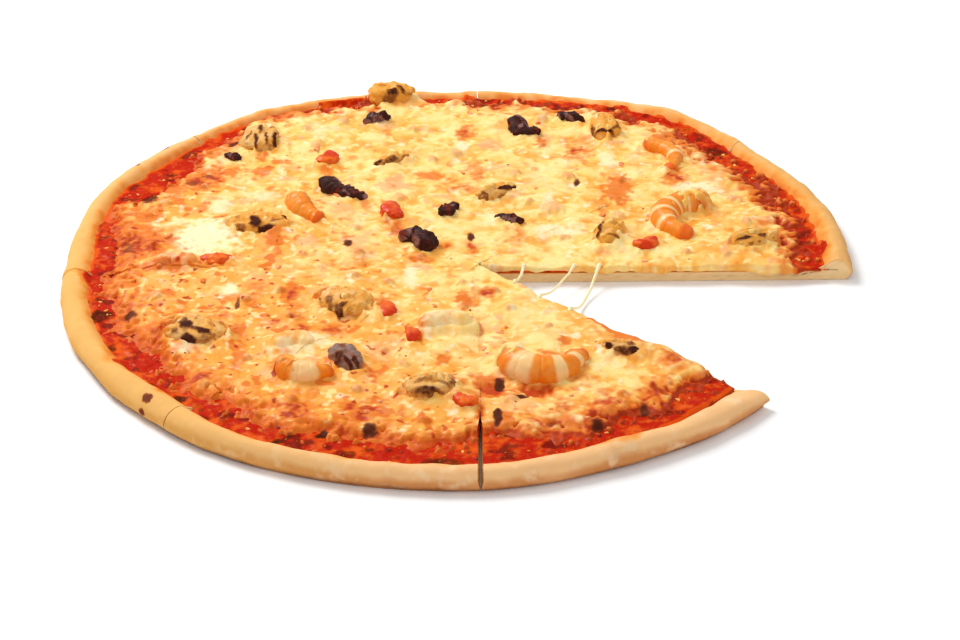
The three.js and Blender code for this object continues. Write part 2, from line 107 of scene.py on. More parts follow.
# The lowest top of the cheese, and the height at which its edge meets the sauce
CHEESE_LEAST, CHEESE_FOOT = 4.5, 4.4
# How far from a topping the cheese still laps up towards it
LAP_REACH = 6
# Distance between rows of the flat dough, and of the sauce outside its fine outer band
FLAT_STEP, COARSE_STEP, FINE_BAND = 1.6, 3, 48
# How far up the crust the sauce's mesh goes, as a share of the crust's width
SAUCE_CLIMB = 0.52
# Small bits in the solid cheese: how proud they stand, how wide and at least how large
MORSEL_PROUD, MORSEL_SPREAD, MORSEL_LEAST = 0.9, 9, 2.2
SUNK = {"mussel": 0.34, "octopus": 0.3, "prawn": 0.42, "pepper": 0.3, "squid": 0.3}

# The rim's section: share of the crust's width in from the outer edge, then the height as a
# share of the rise from the flat dough to the crest, and below the crest of the whole height
RIM_RISE = [(1, 0), (0.84, 0.52), (0.66, 0.87), (0.46, 1), (0.24, 0.86)]
RIM_FALL = [(0.08, 0.7), (0, 0.44), (0.05, 0.2), (0.2, 0)]

# x and y of the middle, length, width, height, turn of the length from +X in degrees
MUSSELS = [
    (-86.5, 111, 21, 17, 11, 84), (-83, 32, 25, 16, 9, 8), (-101, -58, 22, 20, 9, -20),
    (-29, 91, 19, 9, 7, 38), (62, 119, 20, 13.5, 10, 96), (14.5, 59, 19, 10.5, 8, 38),
    (-45, -36, 21, 19, 9, 150), (-43, -80, 18.5, 11.5, 9, -62), (-11, -103, 19, 14, 10, 12),
    (60, -74, 15, 9, 7, -18), (-31, 155.5, 20, 14, 12, 5), (60, 20, 20, 12, 9, 70),
    (118, 14, 19, 13, 9, 20),
]
# Share of beige and of grey in each mussel's meat
MUSSEL_LOOKS = [
    (0.65, 0.08), (0.2, 0.05), (0.55, 0.05), (0.45, 0.1), (0.1, 0), (0.45, 0.05), (0.5, 0.15),
    (0.6, 0.9), (0.6, 0.2), (0.6, 0.3), (0.15, 0), (0.3, 0.05), (0.3, 0.05),
]
# x, y, length along the curl, thickness, curl, turn of the thick end
OCTOPUS = [
    (-96.5, 95, 9, 5.5, 120, 30), (-52.5, 62.8, 25, 9, 50, 225), (-36, 132, 11, 8, 140, 80),
    (24.5, 120, 17, 9, 190, 200), (49, 130, 12, 7, 150, 35), (21, 35, 13, 6, 110, 50),
    (-5.5, 41, 11, 7, 150, 300), (-15, 14, 19, 11, 170, 20),
]
# x and y of the curl's middle, its radius, from and to, thickness
PRAWNS = [
    (31, -80, 12.5, 172, 372, 13), (-57, -83, 9.5, 195, 325, 10), (-46, 55, 22, 178, 240, 10.5),
    (78.5, 89.5, 12.5, 100, -52, 8), (96, 33, 13, 60, 262, 12.5),
]
# x, y, length, width, height, turn, bend
PEPPERS = [
    (-56, 92, 12, 8, 5, 60, 2), (-29, 42, 14, 9, 6, 105, -2), (-98, 0.4, 13, 6.5, 5, 4, 1),
    (1, -113, 11, 6, 5, -30, 1), (-28, -43, 12, 7, 5, 80, 1.5), (-18, -63, 9, 6, 5, 100, 1),
    (75, 11, 12, 7, 5, 30, 2),
]
# x and y of the arc's middle, its radius, from and to, width, height
SQUID = [
    (-113.5, -14, 15, 62, 122, 7, 5), (-63, -73, 8, 50, 150, 8, 6), (-5, -66, 13, 55, 140, 8, 7),
]
# Distance from the cut centre, lean, thickness, sag
STRANDS = [(20, -2, 1.7, 1.8), (34, 4, 1.3, 3.4), (50, -2, 1.6, 5.6)]

# Patches on the pizza: x and y of the middle, half its length and width, turn, strength
BARE_SAUCE = [
    (86, -108, 13, 9, 55, 1), (96, -98, 7, 4, -20, 1), (22, -137, 13, 6, 0, 1),
    (-121, 90, 13, 8, 55, 1), (-132, 70, 12, 6, 65, 1), (-4, -149, 12, 8, 10, 1),
    (-28, -142, 14, 8, 10, 0.9), (-76, -132, 10, 7, -35, 1), (-96, -118, 10, 8, -30, 0.9),
    (-104, -103, 5, 8, 20, 1), (-118, -74, 6, 8, 20, 0.8), (-129, -62, 8, 12, 10, 0.8),
    (-139, -38, 6, 13, 5, 0.9), (105, 112, 17, 5, -58, 1), (88, 133, 13, 4, -35, 1),
    (-100, 128, 10, 5, 55, 1), (-111, 112, 9, 5, 52, 1), (64, 150, 5, 5, 0, 1),
    (-10, 157, 7, 4, 5, 1), (46, 151, 11, 6, -5, 0.8), (75, 146, 5, 5, 0, 0.8),
    (-43, -142, 8, 6, 20, 0.9), (-64, -134, 9, 3, 35, 0.9), (68, -119, 6, 7, 30, 0.8),
    (-143, 20, 4, 22, 3, 1), (12, -101, 6, 5, 0, 0.6), (27, -103, 6, 4, 0, 0.6),
]
RED_STAINS_AND_SHADE = [
    (7, -114, 1.6, 10, 0, 0.8), (6, -128, 5, 5, 0, 0.6),
    (-130, 18, 9, 11, 20, 1), (-109, 75, 9, 6, 40, 0.9), (-130, -33, 8, 11, 10, 0.6),
    (-117, -59, 5, 7, 0, 0.7), (-99, 115, 6, 8, 20, 0.8), (-80, 141, 8, 4, 5, 0.9),
    (-61, -115, 6, 8, 10, 0.8), (-36, -117, 7, 6, 0, 0.9), (-78, -116, 8, 5, 0, 0.7),
    (49, -124, 5, 9, -20, 0.9), (55, -111, 7, 6, 10, 0.7), (33, -126, 6, 5, 0, 0.8),
    (72, -104, 5, 7, -20, 0.8), (37, -115, 4, 6, 0, 0.7), (80, -82, 5, 5, 0, 0.7),
    (50, 103, 4, 9, -8, 0.7), (1, 121, 2.5, 5, 0, 0.9), (10, -26, 3, 3, 0, 0.9),
    (90, 74, 4, 5, 0, 0.9), (0, 66, 7, 4, -20, 0.6), (-97, -91, 5, 4, 0, 0.8),
    (-66, -26, 3, 5, 0, 0.8), (-65, -42, 2.5, 8, 10, 0.6), (-61, -54, 3, 3, 0, 0.8),
    (-50, -55, 5, 3, 0, 0.8), (-72, -50, 4, 4, 0, 0.6), (-87, -56, 3, 5, 0, 0.6),
    (-91, -44, 4, 3, 0, 0.7), (-81, -34, 3, 4, 0, 0.7), (-37, 4, 5, 6, 0, 0.45),
    (-17, 2, 4, 3, 0, 0.7), (-27, 30, 3, 6, 30, 0.7), (-28, 12, 2, 7, 0, 0.5),
    (-56, 72, 3, 4, 0, 0.8), (-33, -90, 5, 4, 30, 0.5), (-31, -80, 4, 6, 0, 0.4),
    # The streak at (22, 18) is partly painted shade and partly drawn strings of cheese.
    (22, 18, 4, 10, -20, 0.5), (4, 10, 2, 7, 0, 0.6), (-98, -1, 9, 4, 0, 0.5),
    (97, 103, 4, 4, 0, 0.7), (-8, 13, 4, 2, 0, 0.6), (46, -141, 7, 3, 5, 0.9),
    (10, -99, 7, 5, 0, 0.8), (28, -102, 8, 4, 0, 0.8), (44, -97, 6, 4, 0, 0.5),
    (-48, -129, 8, 4, 0, 0.7), (-115, -94, 7, 3, 0, 0.9), (-22, -120, 2, 7, 0, 0.5),
]
ORANGE_STAINS = [
    (7, -30, 1.6, 9, 0, 0.5), (7.5, -62, 1.5, 11, 0, 0.5), (7, -97, 2, 12, 0, 0.7),
    (-125, -3, 14, 1.4, 2, 0.8),
    (59, -54, 5, 14, 35, 1), (47, -32, 4, 14, 30, 0.7), (69, -68, 3, 6, 35, 0.7),
    (-75, 22, 4, 13, 0, 0.8), (-84, 84, 6, 4, 0, 0.7), (-98, 83, 4, 5, 0, 0.9),
    (-78, 91, 5, 3, 0, 0.7), (-107, 105, 4, 6, 0, 0.8), (-120, 67, 4, 8, 0, 0.8),
    (-130, 43, 5, 8, 0, 0.8), (-118, 54, 3, 3, 0, 0.7), (-125, 47, 3, 4, 0, 0.7),
    (-106, 52, 3, 9, -30, 0.5), (65, 62, 6, 13, -5, 0.9), (59, 38, 2, 14, 4, 0.5),
    (5, 82, 5, 11, 5, 0.6), (34, 107, 3, 7, 0, 0.7), (88, 114, 5, 10, 10, 0.8),
    (-12, 77, 9, 4, -5, 0.6), (25, 159, 3, 4, 0, 1), (-40, 49, 3, 6, 20, 0.5),
    (-100, -37, 3, 3, 0, 0.8), (-90, -29, 6, 4, 20, 0.6), (-108, -41, 3, 6, 0, 0.7),
    (-115, -24, 3, 4, 0, 0.8), (-130, -17, 4, 4, 0, 0.7), (-130, -51, 4, 3, 0, 0.8),
    (-84, -77, 3, 11, 0, 0.6), (-7, -79, 3, 4, 0, 0.8), (1, -33, 3, 9, 10, 0.8),
    (39, -66, 3, 3, 0, 0.8), (33, -76, 3, 3, 0, 0.7), (16, -125, 4, 6, 0, 0.9),
    (-62, -138, 6, 3, 20, 1), (-27, -117, 3, 3, 0, 0.9), (-30, -38, 3, 9, 0, 0.6),
    (-68, -86, 5, 9, 0, 0.5), (82, 100, 5, 4, 0, 0.6), (108, 75, 5, 10, 0, 0.35),
    (-55, -105, 3, 8, 0, 0.5), (-76, -105, 4, 6, 0, 0.5), (-80, -22, 7, 4, 0, 0.5),
    (12, -135, 3, 5, 0, 0.7), (-57, 81, 3, 6, 0, 0.6), (-120, -95, 5, 3, 0, 0.5),
]
DARK_SPOTS = [
    (-140, -38, 5, 6, 0, 0.8), (-133, -64, 3, 4, 0, 0.7), (-130, 62, 4, 8, -10, 0.7),
    (-96, -117, 5, 4, 0, 0.7), (-88, -125, 5, 3, 0, 0.6), (-66, -134, 8, 2, 38, 0.8),
    (-50, -130, 3, 2.5, 0, 0.9), (-42, -143, 4, 4, 0, 0.7), (-33, -129, 3, 4, 0, 0.8),
    (-5, -149, 8, 4, -10, 0.7), (13.5, -121, 1.6, 6, 0, 0.9), (14.5, -97, 2, 4, 0, 0.9),
    (-98, 111, 3, 3, 0, 0.7), (-46, 15, 2, 4, 0, 0.7), (48.5, 71, 1.5, 4, -10, 0.7),
    (10, 151, 2, 2.5, 0, 0.6), (65, 148, 3, 3, 0, 0.8), (108, 103, 4, 6, 25, 0.7),
    (98, 125, 3, 3, 0, 0.6), (-87, -35, 1.2, 5, 0, 0.6), (-128, -42, 2.5, 2.5, 0, 0.7),
    (-47, -43, 1.2, 6, 0, 0.8), (4, 21, 1.5, 4, 0, 0.8), (22, -108, 4, 1.5, 0, 0.7),
    (67, -115, 2, 4, 0, 0.7), (50, -127, 2.5, 4, 0, 0.7), (-134, 15, 3, 5, 0, 0.5),
    (-104, -103, 2.5, 4, 0, 0.8), (-116, -92, 4, 2, 0, 0.6), (33, -126, 3, 2.5, 0, 0.5),
    (-33, -140, 2, 2, 0, 0.7), (57, -68, 1.6, 2.6, 0, 0.7), (60, -78, 4, 2, 0, 0.5),
    (64, -75, 2, 2, 0, 0.6), (-113, 72, 3, 2.5, 0, 0.5), (-107, 79, 3, 2, 0, 0.5),
    (-140, 0, 3, 3, 0, 0.5), (-147, -27, 2, 3, 0, 0.6), (7, -3, 8, 1.2, 60, 0.3),
]
WHITE_CHEESE = [
    (-105, 22, 13, 15, 0, 1), (-100, 50, 5, 8, 10, 0.7), (-84, 61, 9, 6, 0, 0.6),
    (-64, -72, 8, 6, 0, 0.7), (-8, -53, 8, 9, 0, 0.65), (-53, -64, 7, 6, 0, 0.7),
    (-20, -11, 3, 9, 0, 0.9), (-91, -22, 4, 5, 0, 0.9), (0, 106, 3, 5, 0, 0.9),
    (97, 65, 10, 5, 10, 0.9), (105, 92, 5, 4, 0, 0.9), (62, 92, 5, 10, 0, 0.7),
    (40, 25, 11, 6, 0, 0.8), (36, 55, 3, 12, -15, 0.6), (11, 39, 5, 8, 0, 0.6),
    (-62, 124, 4, 10, 10, 0.6), (-95, 117, 3, 7, 10, 0.5), (118, 88, 5, 8, 0, 0.6),
    (-118, 36, 8, 3, 40, 0.6), (-8, -98, 3, 6, 20, 0.6), (27, -50, 8, 14, 0, 0.4),
    (22, -83, 3, 6, 0, 0.6), (-105, -70, 6, 4, 0, 0.7), (80, -60, 6, 12, -25, 0.6),
    (-41, 38, 5, 8, 0, 0.5), (-100, 97, 5, 6, 0, 0.5), (75, 30, 6, 6, 0, 0.4),
]
PINK_SEAFOOD = [
    (-29, 70, 7, 6, 0, 1), (-62, 19, 5, 6, 0, 0.8), (-50, 46, 6, 7, 0, 0.7),
    (12, 107, 5, 6, 0, 0.9), (-34, 127, 3, 5, 0, 0.7), (-42, 15, 8, 14, 0, 0.6),
    (-80, 15, 5, 9, 0, 0.4), (-73, 76, 4, 3, 0, 0.7), (-47, 76, 2, 8, 10, 0.5),
    (-116, -3, 11, 5, 5, 0.8), (-52, -31, 4, 10, 0, 0.6), (-58, -82, 5, 5, 0, 0.7),
    (-30, -70, 7, 7, 0, 0.6), (-80, -12, 8, 5, 0, 0.5), (20, 80, 9, 7, 0, 0.45),
    (30, 78, 6, 8, 0, 0.4), (107, 75, 6, 11, 0, 0.6), (74, 85, 5, 8, 0, 0.5),
    (20, -113, 8, 6, 0, 0.6), (-25, 100, 5, 4, 0, 0.3), (7, -50, 5, 9, 0, 0.5),
    (46, 92, 5, 5, 0, 0.5), (-20, 138, 5, 4, 0, 0.4), (33, 68, 6, 6, 0, 0.4),
    (-47, -98, 5, 4, 0, 0.5), (-82, 57, 6, 4, 0, 0.5), (38, -60, 6, 3, 0, 0.4),
    (55, 100, 6, 6, 0, 0.4), (-70, -5, 7, 5, 0, 0.4), (-14, -20, 6, 6, 0, 0.4),
]
GOLDEN_CHEESE = [
    (66, -62, 26, 22, -45, 0.8), (38, -36, 16, 14, 0, 0.35),
    (-118, -25, 14, 15, 0, 0.9), (-100, 82, 16, 8, 10, 0.5), (-30, -108, 22, 9, 0, 0.5),
    (-85, -50, 12, 14, 0, 0.4), (60, 62, 12, 14, 0, 0.4), (-45, 108, 18, 10, 0, 0.35),
    (-8, 98, 12, 8, 0, 0.4), (32, -32, 12, 8, 0, 0.4), (-120, 55, 8, 18, 10, 0.5),
    (75, -88, 9, 7, 0, 0.5), (35, 140, 20, 7, 0, 0.4), (10, 160, 14, 4, 0, 0.5),
    (-70, -105, 16, 8, 0, 0.6), (-45, -18, 8, 8, 0, 0.4), (90, 118, 8, 12, 20, 0.5),
    (125, 60, 10, 20, 0, 0.5), (108, 0, 12, 10, 0, 0.5), (-20, 78, 14, 6, 0, 0.4),
]
# Burnt blisters of the crust: x, y, z and radius, strength
CRUST_BURNS = [
    (-115.4, -107.4, 9, 2.6, 1), (-117.9, -110.2, 4.2, 1.9, 0.95), (-139, 90, 7, 3.5, 0.6),
    (-128, 107, 7, 3, 0.7), (-150, -26, 8, 3, 0.3), (104, -124, 7, 3.5, 0.3),
]
# A patch of oil on the crust
OILY_CRUST = [(-151, -4.5, 6, 2, 0, 1)]

# Dark frills and folds of the mussels, as patches
MUSSEL_FRILLS = [
    (-80.5, 106.5, 4, 1, 90, 0.95), (-88, 104, 4, 1, -85, 0.85), (-83.8, 107, 5, 0.8, -85, 0.85),
    (-81.5, 117, 3, 0.8, 60, 0.8), (-86.5, 113, 4, 1, 90, 0.75), (-91, 108, 4, 0.8, 80, 0.7),
    (-83.5, 28.5, 3.5, 2.4, -85, 1), (-79, 25.5, 4.8, 1.6, 20, 1), (-89.5, 26, 2.5, 2.2, -25, 0.6),
    (-91, 34, 4, 1.5, -75, 0.45), (-72, 35.5, 3, 1.4, -40, 0.95), (-74.5, 32, 3, 1, 45, 0.6),
    (-105, -58.5, 4, 2.4, -75, 1), (-98.5, -63, 4.2, 1.7, -20, 1), (-109, -62, 2.5, 1.2, -45, 0.7),
    (-104, -66, 3, 1.5, -15, 0.95), (-96, -65.5, 3.5, 1.6, 20, 0.5), (-35.5, 85, 2.6, 1.3, 30, 0.85),
    (-30, 87, 4.5, 1.3, 36, 0.65), (-23, 92, 3, 1.2, 45, 0.5), (61.5, 110.6, 5, 0.8, -8, 0.85),
    (56.6, 115, 3.4, 0.8, -80, 0.7), (65.8, 112.5, 3, 0.8, 50, 0.65), (67.5, 117, 4.5, 0.9, 85, 0.55),
    (62, 120, 3, 0.8, 70, 0.35), (18.5, 59, 4, 1.2, 30, 0.95), (22, 61, 2.2, 1.1, 70, 0.9),
    (10, 53, 2.2, 1.1, -65, 0.65), (7.5, 52.5, 1.6, 1.2, -35, 0.5), (17.5, 54.5, 4.5, 1, 35, 0.5),
    (13, 55.5, 3, 1, 35, 0.4), (-51, -39, 5, 2, -80, 0.6), (-47, -45, 2.6, 1.4, -60, 0.8),
    (-45.5, -43, 2, 1.1, 30, 0.8), (-43, -45.5, 2, 1.2, 10, 0.4), (-45.5, -83, 3, 1.7, -65, 0.8),
    (-42, -86.5, 4.2, 1, -55, 0.95), (-39.5, -86, 3.2, 1.2, -65, 0.9), (-41.5, -82, 4, 0.9, -55, 0.5),
    (-45, -76, 3, 1.2, -55, 0.6), (-12, -109, 5.6, 1.3, 0, 0.7), (-14.5, -104.5, 5, 1, 15, 0.5),
    (-7.5, -105, 4, 1, -15, 0.5), (-3, -103, 2.8, 1.5, 70, 0.55), (56, -75.5, 1.8, 1.4, -50, 0.9),
    (60.5, -77.8, 4.6, 1.3, -5, 0.7), (64.5, -77.5, 2.2, 1.3, 15, 0.9), (63, -75, 2.2, 1, -75, 0.5),
    (-30, 150.5, 2.6, 1.6, 5, 0.75), (-31, 148.6, 4.5, 1, 0, 0.6), (-35, 154.5, 2.4, 1.6, 15, 0.5),
    (-27, 152.5, 2.2, 1.2, -30, 0.7), (56.2, 18, 6.5, 0.8, 78, 0.85), (61, 13, 3, 0.8, 15, 0.6),
    (62.5, 22, 4, 0.7, 70, 0.5), (114, 10, 4, 1.3, 10, 0.9), (121, 12.5, 2.6, 1.5, 50, 0.8),
    (117, 16.5, 4.5, 1, 25, 0.5),
]

# Prawn, middle and half length of a pale band as shares of the way from its thick end
PRAWN_BANDS = [
    (1, 0.325, 0.075), (1, 0.6, 0.04), (1, 0.8, 0.03), (5, 0.24, 0.022), (5, 0.41, 0.022),
    (5, 0.57, 0.02), (5, 0.71, 0.018), (2, 0.55, 0.16), (4, 0.6, 0.03),
]

# How far a film of cheese covers a topping, and how much further on its far side
FILM = {"mussel": (0.42, 0.32), "octopus": (0.14, 0.0), "prawn": (0.25, 0.2),
        "pepper": (0.2, 0.0), "squid": (1.0, 0.0)}
FILM_OF = {"mussel_1": (0.25, 0.2), "mussel_7": (0.4, 0.4), "mussel_8": (0.16, 0.1),
           "mussel_9": (0.4, 0.4), "mussel_10": (0.5, 0.3), "prawn_1": (0.46, 0.7),
           "prawn_2": (0.5, 0.5), "prawn_3": (0.3, 0.5), "prawn_5": (0.4, 0.5)}

# Depth of the furrow that the cheese forms over each cut, as a share of the deepest
CUT_FURROWS = [0.75, 0, 0, 0, 0.3, 0, 1, 0.75]

# Strewn bits: name, slot, layer that they lie on, their two colours, grain of the colours,
# drifts (size, seed, low, high), pieces a square metre, size, flatness
BITS = [
    ("browned_flecks", "cheese", "melted_cheese", "cheese_red", "burnt", 7,
     (16, 91, -0.1, 0.8), 6500.0, "fleck", 0.3),
    ("seafood_scraps", "prawn", "melted_cheese", "seafood_pink", "cheese_orange", 6,
     (22, 92, -0.3, 0.7), 3200.0, "scrap", 0.36),
    ("cheese_crumbs", "cheese", "tomato_sauce", "cheese_yellow", "cheese_orange", 5,
     (14, 93, -0.2, 0.7), 26000.0, "crumb", 0.5),
    ("sauce_lumps", "sauce", "tomato_sauce", "sauce_red", "sauce_dark", 5,
     (10, 94, -0.2, 0.7), 26000.0, "crumb", 0.4),
]

# Rings and sides of each kind of topping, and rows of points down each layer's cut faces
SKIN_GRIDS = {"mussel": (72, 48), "octopus": (60, 36), "prawn": (104, 40),
              "pepper": (36, 36), "squid": (44, 28)}
CUT_ROWS = {"dough": 6, "sauce": 3, "cheese": 4}
# Grooves round a prawn, and how soon the ends of the octopus and squid reach full girth
PRAWN_RINGS = 6.5
OCTOPUS_FULLNESS, SQUID_FULLNESS = 3.4, 2.6
# How far a string runs on past each end as a share of its length, how steeply it dives there
STRING_OVERRUN, STRING_DIVE, STRING_POINTS = 0.16, 24, 81

# The stage, in metres. Soft boxes: name, place, size, power in watts
FLOOR_HALF = 3.0
FLOOR_LEVEL = -0.0002
SKY_STRENGTH = 0.58
SOFT_BOXES = [("key light", (-0.6, 0.6, 1.0), 0.6, 14), ("front light", (0.5, -1.1, 0.9), 0.8, 3)]
CAMERA_PLACE = (0.00877, -1.06223, 0.56487)
CAMERA_TARGET = (0.00877, -0.03715, 0)
CAMERA_ROLL = -0.00934594
CAMERA_LENS = 112.5


# ---------------------------------------------------------------- settings a user would change


def tint(code):
    """A colour from its usual six-digit code, in the linear values that Blender keeps."""
    parts = [int(code[i:i + 2], 16) / 255 for i in (0, 2, 4)]
    linear = [p / 12.92 if p <= 0.04045 else ((p + 0.055) / 1.055) ** 2.4 for p in parts]
    return (*linear, 1.0)


def colour(name, description, code):
    return bpy.props.FloatVectorProperty(
        name=name, description=description, default=tint(code), size=4, min=0, max=1,
        subtype="COLOR")


def length(name, description, millimetres):
    return bpy.props.FloatProperty(
        name=name, description=description, default=millimetres * MM, min=0,
        subtype="DISTANCE", unit="LENGTH", precision=5)


class PizzaSizes(bpy.types.PropertyGroup):
    """The fine sizes that the looks add to the solids."""

    cheese_step: length("Cheese step", "Distance between the points of the cheese", 0.65)
    sauce_step: length("Sauce step", "Distance between the points of the sauce", 0.8)
    crust_step: length("Crust step", "Distance between the points of the crust", 0.8)
    cheese_lumps: length("Cheese lumps", "Height of the lumps in the melted cheese", 0.95)
    sauce_lumps: length("Sauce lumps", "Height of the lumps in the sauce", 0.45)
    crust_lumps: length("Crust lumps", "Height of the swells and wrinkles of the crust", 0.75)
    furrow: length("Furrow", "Depth to which the cheese sinks along a cut", 0.8)
    fleck: length("Fleck", "Size of a browned fleck on the cheese", 0.8)
    scrap: length("Scrap", "Size of a scrap of seafood in the cheese", 2.6)
    crumb: length("Crumb", "Size of a crumb or lump on the sauce", 1.5)


class PizzaColours(bpy.types.PropertyGroup):
    """The colours of the pizza's layers and toppings."""

    dough_pale: colour("Pale dough", "Floured top of the crust", "f2be84")
    dough_flour: colour("Floury dough", "Floury patches of the crust", "fbdab0")
    # Partly the baked colour of the crust's outer side, partly painted shade on that side.
    dough_tan_and_shade: colour("Tan dough", "Baked side of the crust", "cc844a")
    dough_gold: colour("Golden dough", "Golden stretches of the crust", "e6ac54")
    # Brown of toasted spots, and painted shade that darkens the foot of the crust.
    dough_brown_and_shade: colour("Brown dough", "Toasted foot of the crust", "7e421a")
    dough_crumb: colour("Crumb", "Inside of the dough at a cut", "f3cf98")
    crust_burn: colour("Burnt crust", "Burnt blisters of the crust", "96401a")
    sauce_red: colour("Red sauce", "Tomato sauce", "ba1e02")
    sauce_orange: colour("Orange sauce", "Oil in the tomato sauce", "e0560c")
    sauce_dark: colour("Dark sauce", "Baked dark tomato sauce", "701402")
    cheese_pale: colour("Pale cheese", "Main colour of the melted cheese", "fadc90")
    cheese_yellow: colour("Yellow cheese", "Richer parts of the cheese", "f8c668")
    # Also laid in the cheese's hollows, partly as painted shade.
    cheese_golden: colour("Golden cheese", "Toasted parts of the cheese", "f09c36")
    # Also laid on the tops of the cheese's lumps as a painted highlight.
    cheese_white: colour("White cheese", "Fresh lumps of the cheese", "fce9bc")
    cheese_orange: colour("Orange oil", "Cheese that the sauce's oil has coloured", "e07018")
    cheese_red: colour("Red stain", "Cheese that the sauce shows through", "c03808")
    seafood_pink: colour("Pink seafood", "Seafood under a film of cheese", "f2aa74")
    burnt: colour("Burnt", "Dark baked spots", "481a08")
    mussel_gold: colour("Golden mussel", "Meat of a mussel", "e99f38")
    mussel_olive: colour("Beige mussel", "Duller parts of a mussel", "dfb068")
    mussel_grey: colour("Grey mussel", "Grey parts of a mussel", "86685e")
    mussel_brown: colour("Brown mussel", "Soft brown round a mussel's dark edge", "8c4616")
    mussel_frill: colour("Mussel frill", "Dark edge of a mussel", "3c0f06")
    octopus_dark: colour("Dark octopus", "Skin of the octopus", "381a16")
    octopus_light: colour("Light octopus", "Pale flesh of the octopus", "a0706a")
    octopus_red: colour("Red octopus", "Reddish skin of the octopus", "8a2c10")
    prawn_orange: colour("Orange prawn", "Bands of a prawn", "f08010")
    prawn_red: colour("Red prawn", "Darker edges and tail of a prawn", "e25e08")
    prawn_white: colour("White prawn", "Flesh between the bands", "fbd898")
    pepper_red: colour("Red pepper", "Skin of the pepper", "d43402")
    pepper_orange: colour("Orange pepper", "Flesh of the pepper", "ee6c12")
    squid_white: colour("White squid", "Flesh of the squid", "fddc9c")
    floor: colour("Floor", "Pale floor under the pizza", "fdfdfd")


# ---------------------------------------------------------------- rules of form


def smooth(x, low, high):
    """Rises smoothly from 0 at low to 1 at high, or falls where low is the greater."""
    share = np.clip((x - low) / (high - low), 0, 1)
    return share * share * (3 - 2 * share)


def heading(angle):
    return np.array([math.cos(angle), math.sin(angle)])


def turned(x, y, degrees):
    cos, sin = heading(math.radians(degrees))
    return x * cos - y * sin, x * sin + y * cos


def around(values, angle):
    """A value that varies smoothly around the rim, read between evenly spread entries."""
    values = np.asarray(values, float)
    place = np.asarray(angle) / math.tau * len(values)
    before = np.floor(place).astype(int)
    blend = (1 - np.cos(np.pi * (place - before))) / 2
    return values[before % len(values)] * (1 - blend) + values[(before + 1) % len(values)] * blend


def burst(angle):
    away = (angle - math.radians(BURST_ANGLE) + math.pi) % math.tau - math.pi
    return np.exp(-((away / math.radians(BURST_SPREAD)) ** 2))


def rim_radius(angle):
    return around(RIM_RADIUS, angle)


def crust_width(angle):
    return around(CRUST_WIDTH, angle) + BURST_WIDTH * burst(angle)


def crust_crest(angle):
    waves = 0.4 * np.sin(3 * angle + 1) + 0.35 * np.sin(7 * angle + 2)
    return around(CRUST_CREST, angle) + waves + BURST_HEIGHT * burst(angle)


def crust_foot(angle):
    return rim_radius(angle) - crust_width(angle)


def share_in(x, y):
    """How far in from the outer edge each place lies, as a share of the crust's width."""
    angle = np.arctan2(y, x)
    return (rim_radius(angle) - np.hypot(x, y)) / crust_width(angle)


def inside_foot(x, y):
    """Distance inward from the foot of the crust."""
    return crust_foot(np.arctan2(y, x)) - np.hypot(x, y)


def cheese_radius(angle):
    lobes = sum(depth * np.sin(waves * angle + phase) for waves, depth, phase in CHEESE_LOBES)
    return crust_foot(angle) - 0.4 - around(SAUCE_RING, angle) + lobes


def cheese_height(x, y):
    peak_x, peak_y, peak_radius, peak_height = DRAWN_PEAK
    height = CHEESE_TOP + peak_height * np.exp(
        -((np.hypot(x - peak_x, y - peak_y) / peak_radius) ** 2))
    for wavelength, direction, swell, phase in CHEESE_SWELLS:
        along, _ = turned(x, y, -direction)
        height = height + swell * np.sin(math.tau * along / wavelength + phase)
    return height


def reach_to(outline, tip, angle):
    """Distance from a slice's tip, along a heading, to an outline given about the middle."""
    ahead = np.stack([np.cos(angle), np.sin(angle)], -1)
    along = ahead @ tip
    reach = outline(angle)
    for _ in range(REACH_ROUNDS):
        edge = tip + ahead * reach[..., None]
        radius = outline(np.arctan2(edge[..., 1], edge[..., 0]))
        reach = np.sqrt(along**2 - tip @ tip + radius**2) - along
    return reach


def slice_frame(index):
    """A slice's tip and the headings of its two cuts."""
    turn = math.tau / SLICES
    start = index * turn + math.radians(CUT_OPENING[index]) / 2
    end = (index + 1) * turn - math.radians(CUT_OPENING[(index + 1) % SLICES]) / 2
    set_back = KERF / 2 / math.sin(turn / 2)
    return CUT_CENTRE + set_back * heading((start + end) / 2), start, end


def lattice(x, y, size):
    """The square of a lattice that each place falls in, and its place in that square."""
    u, v = np.asarray(x) / size, np.asarray(y) / size
    i, j = np.floor(u).astype(int), np.floor(v).astype(int)
    return i, j, u - i, v - j


def noise(x, y, size, seed):
    """Smooth noise from about -1 to 1, in lumps of about that size."""
    turns = np.random.default_rng(seed).uniform(0, math.tau, (LATTICE, LATTICE))
    i, j, u, v = lattice(x, y, size)

    def corner(di, dj):
        turn = turns[(i + di) % LATTICE, (j + dj) % LATTICE]
        return np.cos(turn) * (u - di) + np.sin(turn) * (v - dj)

    su, sv = (f * f * f * (f * (f * 6 - 15) + 10) for f in (u, v))
    near, far = (corner(0, dj) * (1 - su) + corner(1, dj) * su for dj in (0, 1))
    return 1.5 * (near * (1 - sv) + far * sv)


def along_cut(distance, size, seed):
    """Smooth noise along a line, in waves of about that size."""
    return noise(distance, 0.43 * size + 0 * distance, size, seed)


def rough(points, size, seed):
    """Smooth noise in space from about -1 to 1, in lumps of about that size."""
    shift = Vector((7.1, 3.7, 5.3)) * seed
    return np.array([space_noise.noise(Vector(p) / size + shift) for p in points]) * 1.4


def cells(x, y, size, seed):
    """Distance to the nearest of many scattered points, in lumps of about that size."""
    jitter = np.random.default_rng(seed).uniform(0, 1, (LATTICE, LATTICE, 2))
    i, j, u, v = lattice(x, y, size)
    best = np.full(u.shape, 9.0)
    for di in (-1, 0, 1):
        for dj in (-1, 0, 1):
            spot = jitter[(i + di) % LATTICE, (j + dj) % LATTICE]
            best = np.minimum(best, np.hypot(di + spot[..., 0] - u, dj + spot[..., 1] - v))
    return best


